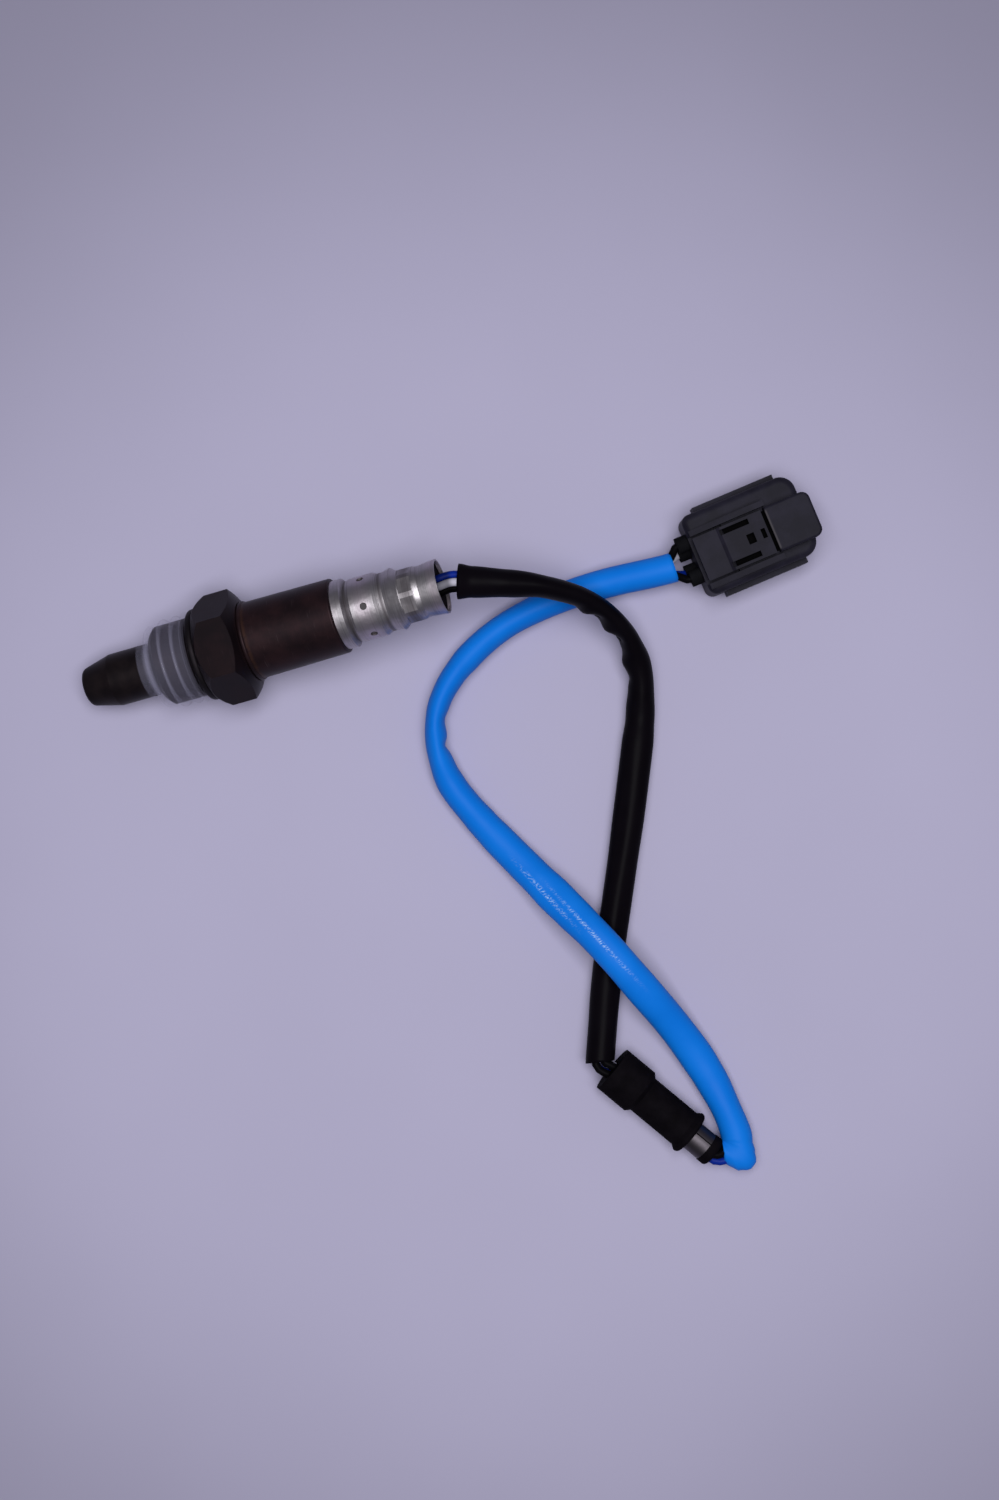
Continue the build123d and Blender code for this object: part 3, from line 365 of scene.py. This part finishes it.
def cap_plastic(colours):
    """Clear bluish plastic: thin walls show the dark thread, thick rims and ribs look milky."""
    finish = Finish("Cap plastic")
    ahead = finish.parts(sensor_place(finish))[0]
    cloud = finish.noise(260, 3)
    tone = finish.blend(cloud.step(0.3, 0.8), colours.cap_plastic, (0.54, 0.53, 0.74))
    rim = ahead.near(CAP_RIM_AT, 0.55 * MM)
    shoulder = ahead.near(CAP_SHOULDER_AT, 1.3 * MM)
    ribs = sum(ahead.near(middle, 0.45 * MM) for middle in CAP_RIBS_AT)
    alpha = (0.028 + rim * 0.36 + shoulder * 0.11 + ribs * 0.11 + cloud * 0.03).clip()
    normal = finish.bump(finish.noise(420, 2), 0.010 * MM)
    return finish.shader(
        tone, 0.16 + cloud * 0.10, normal, alpha=alpha, ior=1.45, coat_weight=0.6, coat_roughness=0.08,
    )


def moulded_rubber(name, colour, grain=1400, depth=0.02 * MM):
    """Matt moulded rubber with a fine pebbled skin."""
    finish = Finish(name)
    cloud = finish.noise(300, 4)
    skin = finish.noise(grain, 3, 0.6)
    tone = finish.blend(cloud.step(0.3, 0.8), colour, shade(colour, 1.7))
    normal = finish.bump(skin, depth)
    return finish.shader(tone, 0.58 + skin * 0.2, normal, specular_ior_level=0.012)


def vinyl(name, colour, lighter, rough, shine, scuffed=False):
    """Soft vinyl: shallow dimples, a satin skin and, on the blue sleeve, two strips of pale scuffs."""
    finish = Finish(name)
    cloud = finish.noise(90, 4, 0.5)
    dimple = finish.noise(420, 3, 0.5)
    tone = finish.blend(cloud.step(0.35, 0.7) * 0.6, colour, lighter)
    if scuffed:
        along, across = finish.parts(finish.turned(SCUFF_PLACE, (0, 0, SCUFF_HEADING)))[:2]
        strips = sum(along.near(middle, length) * across.near(aside, width)
                     for middle, length, aside, width in SCUFF_STRIPS)
        marks = finish.noise(1, 2, 0.5, finish.scaled(finish.place, (1500, 5200, 2600))).step(0.50, 0.60)
        tone = finish.blend((strips * marks * 0.85).clip(), tone, (0.40, 0.58, 0.85))
    normal = finish.bump(dimple, 0.05 * MM)
    return finish.shader(tone, rough + cloud * 0.12, normal, specular_ior_level=shine)


def insulation(name, colour, shine=0.08):
    """Smooth extruded wire insulation, with painted shadow of the cover's rim where it leaves the sensor."""
    finish = Finish(name)
    ahead, side = finish.parts(sensor_place(finish))[:2]
    cloud = finish.noise(250, 3)
    tone = finish.blend(cloud, colour, shade(colour, 1.35))
    # Painted shadow: the wires are darkened near the sensor, where the cover's rim shades them.
    in_rim_shadow = (1 - ahead.step(*RIM_SHADOW_END)) * side.step(*RIM_SHADOW_SIDE)
    rim_shadowed = finish.blend(in_rim_shadow * 0.7, tone, shade(colour, 0.12))
    normal = finish.bump(finish.noise(900, 2), 0.01 * MM)
    return finish.shader(rim_shadowed, 0.38 + cloud * 0.1, normal, specular_ior_level=shine)


def plug_plastic(colours):
    """Glass-filled nylon: satin, faintly mottled, with a painted highlight along the hood's rear edge.

    The slots and windows through the lever get painted shade inside.
    """
    finish = Finish("Plug plastic")
    rear = PLUG_FACE - PLUG_LENGTH * np.array(MOUNTS["plug_face"]["axis"])
    ahead, across, rise = finish.parts(finish.turned((rear[0], rear[1], 0.0), (0, 0, PLUG_HEADING)))
    side = abs(across - LEVER_SHIFT)
    cloud = finish.noise(180, 5, 0.6)
    grain = finish.noise(2200, 3, 0.6)
    tone = finish.blend(cloud.step(0.35, 0.7), colours.plug_plastic, shade(colours.plug_plastic, 1.6))
    # Painted highlight: a lighter band of base colour along the hood's rear edge.
    highlight_mask = ahead.near(HOOD_REAR, 0.55 * MM) * rise.step(*HOOD_EDGE_RISE) * (1 - side.step(*HOOD_EDGE_SIDE))
    edge_highlighted = finish.blend(highlight_mask * 0.8, tone, (0.13, 0.12, 0.13))
    # Painted shade: the slots and windows through the lever are darkened to near black inside.
    inside = (1 - rise.step(*LEVER_INSIDE_TOP)) * rise.step(*LEVER_INSIDE_FLOOR)
    inside = inside * (1 - side.step(*LEVER_INSIDE_SIDE)) * ahead.step(*LEVER_INSIDE_FROM)
    recess_shaded = finish.blend(inside, edge_highlighted, (0.0006, 0.0005, 0.0008))
    normal = finish.bump(grain, 0.012 * MM)
    rough = 0.44 + cloud * 0.10 + grain * 0.06 + inside * 0.4
    return finish.shader(recess_shaded, rough, normal, specular_ior_level=0.065)


def fired_ceramic(name, colour):
    """Unglazed ceramic or pressed powder with a fine tooth."""
    finish = Finish(name)
    cloud = finish.noise(500, 4)
    tone = finish.blend(cloud, colour, shade(colour, 0.86))
    return finish.shader(tone, 0.6 + cloud * 0.15, finish.bump(finish.noise(3000, 3), 0.01 * MM))


def plain_floor(colours):
    """A plain floor, a little uneven in tone, with painted light falloff that darkens it away from the part.
    """
    finish = Finish("Plain floor")
    across, along = finish.parts(finish.turned(FLOOR_MIDDLE, (0, 0, 0)))[:2]
    cloud = finish.noise(9, 3)
    away = (across * across + along * along) ** 0.5
    tone = finish.blend(cloud.step(0.2, 0.8), colours.floor, shade(colours.floor, 1.05))
    # Painted shade: light falloff darkening the floor towards the corners.
    falloff_shaded = finish.blend(away.step(*FLOOR_FALLOFF) * 0.40, tone, (0.0, 0.0, 0.0))
    return finish.shader(falloff_shaded, 0.8, specular_ior_level=0.1)


# ---- Shapes ----
def unit(vectors):
    """Vectors of length 1."""
    return vectors / np.linalg.norm(vectors, axis=-1, keepdims=True)


def distances(line):
    """How far along a line each of its points lies."""
    steps = np.linalg.norm(np.diff(line, axis=0), axis=1)
    return np.concatenate([[0.0], np.cumsum(steps)])


def smooth_line(route, spacing):
    """Evenly spaced points on the NURBS spline whose control points are the route's points."""
    curve = bpy.data.curves.new("Lead route", "CURVE")
    curve.dimensions = "3D"
    curve.resolution_u = 24
    spline = curve.splines.new("NURBS")
    spline.points.add(len(route) - 1)
    spline.points.foreach_set("co", [value for point in route for value in (*point, 1.0)])
    spline.order_u = 3
    spline.use_endpoint_u = True
    helper = bpy.data.objects.new("Lead route", curve)
    mesh = bpy.data.meshes.new_from_object(helper)
    line = np.empty(3 * len(mesh.vertices))
    mesh.vertices.foreach_get("co", line)
    bpy.data.objects.remove(helper)
    bpy.data.curves.remove(curve)
    bpy.data.meshes.remove(mesh)
    line = line.reshape(-1, 3)
    at = distances(line)
    even = np.linspace(0, at[-1], int(at[-1] / spacing) + 1)
    return np.stack([np.interp(even, at, line[:, axis]) for axis in range(3)], axis=1)


def side_frames(line):
    """Unit vectors to the left of a line and up from it, both square to the line."""
    forward = unit(np.gradient(line, axis=0))
    left = unit(np.cross([0.0, 0.0, 1.0], forward))
    return left, np.cross(forward, left)


def grid_mesh(name, grid, material, close_rows=False, pole_ends=False):
    """A mesh from a grid of points: rows along, closed around, and closed or capped at its ends.

    Cell (i, j) joins points (i, j), (i+1, j), (i+1, j+1) and (i, j+1), and j runs round.
    """
    rows, sides = grid.shape[:2]
    row = np.arange(rows if close_rows else rows - 1)[:, None]
    side = np.arange(sides)[None, :]
    after_row = (row + 1) % rows
    after_side = (side + 1) % sides
    corners = [row * sides + side, after_row * sides + side, after_row * sides + after_side,
               row * sides + after_side]
    faces = np.stack(np.broadcast_arrays(*corners), axis=-1).reshape(-1, 4).tolist()
    if pole_ends:
        faces.append(list(range(sides)))
        faces.append([(rows - 1) * sides + index for index in range(sides - 1, -1, -1)])
    mesh = bpy.data.meshes.new(name)
    mesh.from_pydata(grid.reshape(-1, 3).tolist(), [], faces)
    mesh.validate()
    mesh.polygons.foreach_set("use_smooth", [True] * len(mesh.polygons))
    mesh.materials.append(material)
    piece = bpy.data.objects.new(name, mesh)
    bpy.context.scene.collection.objects.link(piece)
    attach(piece, "root")
    return piece


def rod_grid(line, radius, sides=20):
    """A round rod along a line: line + radius * (left * cos(angle) + above * sin(angle))."""
    left, above = side_frames(line)
    angle = np.linspace(0, 2 * np.pi, sides, endpoint=False)[None, :, None]
    return line[:, None] + radius * (left[:, None] * np.cos(angle) + above[:, None] * np.sin(angle))


def sleeve_grid(sections, wall, pinches, sides=56):
    """A soft oval sleeve with a wall, as one skin that runs out along its outside and back inside.

    At angle a the outside is centre + across * width * cos(a) + up * height * sin(a). A pinch
    (where, bearing, depth, reach, spread) adds depth * exp(-((row - where) / reach)^2
    - ((a - bearing) / spread)^2) to both half sizes. The inside is the same form, smaller by the wall.
    """
    centre, across, up, width, height, at = sections
    angle = np.linspace(0, 2 * np.pi, sides, endpoint=False)[None, :]
    relief = np.zeros((len(centre), sides))
    for where, bearing, depth, reach, spread in pinches:
        swing = (angle - np.radians(bearing) + np.pi) % (2 * np.pi) - np.pi
        swell = np.exp(-((at[:, None] / MM - where) / reach) ** 2 - (swing / np.radians(spread)) ** 2)
        relief += depth * MM * swell
    skins = []
    for inset in (0.0, wall):
        sideways = across[:, None] * ((width[:, None] - inset + relief) * np.cos(angle))[:, :, None]
        upwards = up[:, None] * ((height[:, None] - inset + relief) * np.sin(angle))[:, :, None]
        skins.append(centre[:, None] + sideways + upwards)
    return np.concatenate([skins[0], skins[1][::-1]])


# ---- The lead ----
WIRES = {
    # name: which side and level of the bundle, then side and lift in the sleeve's end and the plug, in mm
    "wire_blue": (1, 1, (-1.65, -0.95), (-2.3, -2.3)),
    "wire_white": (-1, 1, (1.65, -0.95), (2.3, -2.3)),
    "wire_black_1": (1, -1, (-2.0, 0.95), (-4.0, 2.3)),
    "wire_black_2": (-1, -1, (2.0, 0.95), (4.0, 2.3)),
}
SENSOR_MOUTH = (0.0406, 0.0, 0.0215)
# Distance from the sensor's mouth in mm, then the bundle's roll in degrees.
ROLL_KEYS = [(0, -35), (4, -35), (26, -90), (66, -90), (124, -180), (176, -180), (183, -255), (192, -255),
             (214, -180), (400, -180)]
# Where the wires spread, first in the sleeve's end and then into the plug, back from their last point.
SPREADS = ((30 * MM, 16 * MM), (12.4 * MM, 9.9 * MM))


def blend_between(values, start, end):
    """A smooth step from 0 at start to 1 at end."""
    share = np.clip((values - start) / (end - start), 0, 1)
    return share * share * (3 - 2 * share)


def along_keys(at, keys):
    """Values at distances in mm between keyed ones, eased at each key."""
    stations = np.array([key[0] for key in keys])
    values = np.array([key[1:] for key in keys])
    spot = np.clip(np.searchsorted(stations, at, side="right") - 1, 0, len(stations) - 2)
    share = blend_between(at, stations[spot], stations[spot + 1])[:, None]
    return (values[spot] * (1 - share) + values[spot + 1] * share).T


def nearest_distance(line, place):
    """How far along a line its nearest point to a place lies."""
    return distances(line)[np.linalg.norm(line - np.array(place), axis=1).argmin()]


def wire_line(line, offset, wire):
    """One wire's line: line + left * sideways + above * upwards, by its place in the bundle.

    The bundle rolls as ROLL_KEYS say, lies flat in the blue sleeve's end and fans out into the plug.
    """
    side, lift, *later_places = WIRES[wire]
    left, above = side_frames(line)
    at = distances(line)
    mouth = nearest_distance(line, SENSOR_MOUTH)
    roll = np.radians(along_keys(np.maximum(at - mouth, 0) / MM, ROLL_KEYS)[0])
    sideways = offset * (side * np.cos(roll) - lift * np.sin(roll))
    upwards = offset * (side * np.sin(roll) + lift * np.cos(roll))
    for (new_side, new_lift), (start, end) in zip(later_places, SPREADS):
        share = blend_between(at, at[-1] - start, at[-1] - end)
        sideways = sideways + share * (new_side * MM - sideways)
        upwards = upwards + share * (new_lift * MM - upwards)
    return line + left * sideways[:, None] + above * upwards[:, None]


class SENSOR_OT_wires(bpy.types.Operator):
    """Four insulated wires from the sensor's crimps to the plug's"""

    bl_idname = "sensor.wires"
    bl_label = "Wires"

    def execute(self, context):
        sizes = context.scene.lead_sizes
        line = smooth_line(LEAD_ROUTE, 0.8 * MM)
        finishes = {
            "wire_blue": insulation("Blue insulation", (0.002, 0.015, 0.19)),
            "wire_white": insulation("White insulation", (0.37, 0.36, 0.43)),
            "wire_black_1": insulation("Black insulation", (0.0022, 0.0020, 0.0028), 0.02),
        }
        finishes["wire_black_2"] = finishes["wire_black_1"]
        for wire in WIRES:
            path = wire_line(line, sizes.bundle_offset, wire)
            grid = rod_grid(path, sizes.wire_radius)
            piece = grid_mesh(wire + "_look", grid, finishes[wire],
                              pole_ends=True)
            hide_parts(wire)
        return {"FINISHED"}


# Distance along the sleeve and its half width, in mm.
BLACK_WIDTHS = [
    (0, 3.95), (3, 3.50), (11, 3.08), (20, 2.45), (31, 2.25), (39, 2.22), (45, 2.35), (51, 2.90),
    (57, 2.95), (64, 3.30), (70, 3.62), (85, 3.62), (98, 3.42), (126, 3.40), (134, 3.30), (142, 3.30),
]
BLUE_WIDTHS = [
    (0, 3.55), (7, 3.38), (16, 3.80), (21, 3.95), (30, 3.84), (43, 3.90), (50, 3.80), (60, 3.82),
    (67, 4.05), (73, 4.15), (79, 3.86), (90, 3.74), (96, 3.52), (101, 3.30), (107, 3.25), (115, 2.50),
    (122, 2.28), (127, 2.50), (134, 2.75), (139, 3.05), (150, 2.98), (170, 3.35), (192, 3.40),
]
# Where along the sleeve in mm, bearing in degrees (180 is the inside of the bend), depth in mm,
# reach in mm and spread in degrees.
BLACK_PINCHES = [
    (30.5, 180, 0.75, 1.5, 42), (34.2, 180, -0.50, 1.3, 42), (38.5, 180, 0.90, 1.7, 42),
    (42.8, 180, -0.65, 1.4, 42), (49.5, 180, 0.65, 2.0, 45), (54.2, 180, -0.45, 1.4, 42),
    (60.5, 180, 0.20, 2.2, 45), (32.0, 90, -0.35, 5.0, 30), (45.0, 80, -0.40, 6.0, 30),
    (88.0, 120, -0.35, 12.0, 22), (110.0, 60, -0.30, 14.0, 24),
]
BLUE_PINCHES = [
    (113.0, 180, 0.30, 2.2, 45), (116.6, 180, -0.55, 1.2, 48), (119.6, 180, 0.35, 1.8, 45),
    (117.0, 60, -0.30, 2.4, 40), (123.5, 175, -0.25, 1.6, 45), (55.0, 95, -0.20, 10.0, 26),
]
# Angle round the crease in degrees, then the sleeve's reach from the crease and half height, in mm.
BLUE_FOLD = [(0, 7.1, 3.30), (12, 7.9, 3.20), (30, 9.3, 2.95), (40, 9.3, 2.80), (56, 7.9, 2.70),
             (68, 6.2, 2.60), (80, 5.1, 2.50)]
# Where each sleeve starts and ends on the lead's line.
BLACK_ENDS = ((0.0450, 0.0, 0.0222), (0.0474, -0.1124, 0.0054))
BLUE_ENDS = ((0.0733, -0.1380, 0.0045), (0.0929, -0.0086, 0.0066))


def even_sections(line, ends, widths):
    """Oval sections between two places along a line: centre, across, up, half sizes and distance.

    The sleeve keeps its round girth, so height^2 = 2 * radius^2 - width^2, and it rests on its
    underside as it flattens.
    """
    left, above = side_frames(line)
    first, last = [np.linalg.norm(line - np.array(end), axis=1).argmin() for end in ends]
    kept = slice(first, last + 1)
    at = distances(line[kept])
    radius = SLEEVE_RADIUS
    width = along_keys(at / MM, widths)[0] * MM
    height = np.sqrt(2 * radius**2 - width**2)
    rise = np.maximum(height - radius, (height - radius) / 2)
    centre = line[kept] + above[kept] * rise[:, None]
    return centre, left[kept], above[kept], width, height, at


def folded_sections(sections, fold, steps=14):
    """The sections, led by ones that swing about a crease on the left of the first of them.

    The section at angle a reaches from the crease along -left * cos(a) - forward * sin(a).
    """
    centre, across, up, width, height, at = sections
    crease = centre[0] + across[0] * width[0]
    back = np.cross(across[0], up[0])
    angle = np.linspace(fold[-1][0], 0, steps, endpoint=False)
    reach, tall = along_keys(angle, fold) * MM
    turn = np.radians(angle)[:, None]
    outward = -across[0] * np.cos(turn) - back * np.sin(turn)
    led = crease + outward * reach[:, None] / 2
    flat = np.repeat(up[:1], steps, axis=0)
    behind = -np.linspace(8 * MM, 0, steps, endpoint=False)
    return (np.concatenate([led, centre]), np.concatenate([-outward, across]), np.concatenate([flat, up]),
            np.concatenate([reach / 2, width]), np.concatenate([tall, height]), np.concatenate([behind, at]))


class SENSOR_OT_sleeves(bpy.types.Operator):
    """The black and the blue sleeving, soft, flattened and kinked"""

    bl_idname = "sensor.sleeves"
    bl_label = "Sleeves"

    def execute(self, context):
        sizes = context.scene.lead_sizes
        colours = context.scene.finish_colours
        line = smooth_line(LEAD_ROUTE, 0.6 * MM)
        black = even_sections(line, BLACK_ENDS, BLACK_WIDTHS)
        blue = folded_sections(even_sections(line, BLUE_ENDS, BLUE_WIDTHS), BLUE_FOLD)
        sleeves = [
            ("black_sleeving", black, BLACK_PINCHES,
             vinyl("Black vinyl", colours.black_vinyl, (0.0040, 0.0030, 0.0048), 0.34, 0.02)),
            ("blue_sleeving", blue, BLUE_PINCHES,
             vinyl("Blue vinyl", colours.blue_vinyl, (0.004, 0.180, 0.700), 0.45, 0.09, True)),
        ]
        for name, sections, pinches, material in sleeves:
            grid = sleeve_grid(sections, sizes.sleeve_wall, pinches)
            piece = grid_mesh(name + "_look", grid, material, close_rows=True)
            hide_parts(name)
        return {"FINISHED"}


# ---- CAD nodes that keep their shape ----
def dress(node, material):
    """Give a CAD node its finish."""
    for slot in NODES[node].material_slots:
        slot.link = "OBJECT"
        slot.material = material


class SENSOR_OT_metalwork(bpy.types.Operator):
    """Finishes of the sensor's steel, cap and rubber"""

    bl_idname = "sensor.metalwork"
    bl_label = "Sensor body"

    def execute(self, context):
        colours = context.scene.finish_colours
        tinted = tinted_steel(colours)
        dress("metal_shell", tinted)
        dress("rear_sleeve", tinted)
        dress("outer_protector", nose_steel(colours))
        dress("sealing_gasket", plain_steel("Gasket steel", (0.020, 0.017, 0.020), 0.55))
        dress("thread_cap", cap_plastic(colours))
        dress("filter_cover", cover_steel(colours))
        dress("wire_grommet", moulded_rubber("Grommet rubber", (0.004, 0.003, 0.004)))
        inner = plain_steel("Inner steel", (0.42, 0.41, 0.42), 0.35)
        for node in ("inner_protector", "packing_ring", "insulator_clip", "contact_terminals", "filter_tube"):
            dress(node, inner)
        ceramic = fired_ceramic("White ceramic", (0.78, 0.76, 0.71))
        for node in ("sensing_element", "front_holder", "ceramic_sleeve", "rear_insulator"):
            dress(node, ceramic)
        dress("talc_seal", fired_ceramic("Pressed talc", (0.66, 0.65, 0.62)))
        dress("vent_filter", fired_ceramic("Porous filter", (0.050, 0.044, 0.048)))
        return {"FINISHED"}


class SENSOR_OT_fittings(bpy.types.Operator):
    """Finishes of the harness grommet, its band and the plug"""

    bl_idname = "sensor.fittings"
    bl_label = "Grommet and plug"

    def execute(self, context):
        colours = context.scene.finish_colours
        dress("harness_grommet", moulded_rubber("Harness rubber", (0.0030, 0.0024, 0.0034), 1100, 0.03 * MM))
        dress("grommet_band", plain_steel("Band steel", (0.080, 0.071, 0.082), 0.42))
        dress("plug_housing", plug_plastic(colours))
        dress("terminal_holder", plug_plastic(colours))
        dress("plug_seal", moulded_rubber("Ring seal rubber", (0.26, 0.10, 0.04)))
        dress("wire_seals", moulded_rubber("Wire seal rubber", (0.004, 0.004, 0.005)))
        dress("plug_terminals", plain_steel("Tinned brass", (0.62, 0.60, 0.52), 0.28))
        return {"FINISHED"}


# ---- Stage ----
CAMERA_PLACE = (0.0440, -0.0381, 0.550)
CAMERA_TURN = np.radians(-15.3)
CAMERA_LENS = 38.456
SENSOR_HEIGHT = 24.0
FLOOR_REACH = 1.5
LAMP_PLACE = (0.07, -0.03, 1.0)
LAMP_AIM = (0.04, -0.04, 0.0)
LAMP_SIZE = (0.70, 0.60)
LAMP_WATTS = 10.6
LAMP_COLOUR = (0.985, 0.985, 1.0)
WORLD_COLOUR = (0.86, 0.86, 1.0, 1)
WORLD_STRENGTH = 0.13


def add_lamp(name, place, aim, size, watts, colour):
    """A soft rectangular lamp that points at a place."""
    lamp = bpy.data.lights.new(name, "AREA")
    lamp.shape = "RECTANGLE"
    lamp.size, lamp.size_y = size
    lamp.energy = watts
    lamp.color = colour
    holder = bpy.data.objects.new(name, lamp)
    holder.location = place
    facing = Vector(aim) - Vector(place)
    holder.rotation_euler = facing.to_track_quat("-Z", "Y").to_euler()
    bpy.context.scene.collection.objects.link(holder)


class SENSOR_OT_stage(bpy.types.Operator):
    """A plain floor, a soft lamp and the camera"""

    bl_idname = "sensor.stage"
    bl_label = "Stage"

    def execute(self, context):
        scene = context.scene
        mesh = bpy.data.meshes.new("Floor")
        corners = [(FLOOR_REACH * x, FLOOR_REACH * y, 0) for x, y in ((-1, -1), (1, -1), (1, 1), (-1, 1))]
        mesh.from_pydata(corners, [], [(0, 1, 2, 3)])
        mesh.materials.append(plain_floor(scene.finish_colours))
        floor = bpy.data.objects.new("Floor", mesh)
        scene.collection.objects.link(floor)
        add_lamp("Ceiling lamp", LAMP_PLACE, LAMP_AIM, LAMP_SIZE, LAMP_WATTS, LAMP_COLOUR)
        world = bpy.data.worlds.new("Studio")
        world.use_nodes = True
        backing = world.node_tree.nodes["Background"]
        backing.inputs["Color"].default_value = WORLD_COLOUR
        backing.inputs["Strength"].default_value = WORLD_STRENGTH
        scene.world = world
        camera = bpy.data.cameras.new("Camera")
        camera.sensor_fit = "VERTICAL"
        camera.sensor_height = SENSOR_HEIGHT
        camera.lens = CAMERA_LENS
        camera.clip_start = 0.01
        holder = bpy.data.objects.new("Camera", camera)
        holder.location = CAMERA_PLACE
        holder.rotation_euler = Euler((0, 0, CAMERA_TURN))
        scene.collection.objects.link(holder)
        scene.camera = holder
        scene.view_settings.view_transform = "Standard"
        return {"FINISHED"}


class SENSOR_PT_panel(bpy.types.Panel):
    """Lists the steps that dress the sensor"""

    bl_idname = "SENSOR_PT_panel"
    bl_label = "Oxygen Sensor"
    bl_space_type = "VIEW_3D"
    bl_region_type = "UI"
    bl_category = "Sensor"

    def draw(self, context):
        for operator in OPERATORS:
            self.layout.operator(operator.bl_idname)
        for group in (context.scene.lead_sizes, context.scene.finish_colours):
            for name in group.__annotations__:
                self.layout.prop(group, name)


OPERATORS = (
    SENSOR_OT_wires, SENSOR_OT_sleeves, SENSOR_OT_metalwork, SENSOR_OT_fittings, SENSOR_OT_stage,
)
CLASSES = (LeadSizes, FinishColours) + OPERATORS + (SENSOR_PT_panel,)


def register():
    """Add the classes and the two groups of settings."""
    for made in CLASSES:
        bpy.utils.register_class(made)
    bpy.types.Scene.lead_sizes = PointerProperty(type=LeadSizes)
    bpy.types.Scene.finish_colours = PointerProperty(type=FinishColours)


def unregister():
    """Take them away again."""
    del bpy.types.Scene.lead_sizes
    del bpy.types.Scene.finish_colours
    for made in reversed(CLASSES):
        bpy.utils.unregister_class(made)


def main():
    """Dress the sensor."""
    register()
    for operator in OPERATORS:
        family, name = operator.bl_idname.split(".")
        getattr(getattr(bpy.ops, family), name)()


if __name__ == "__main__":
    main()
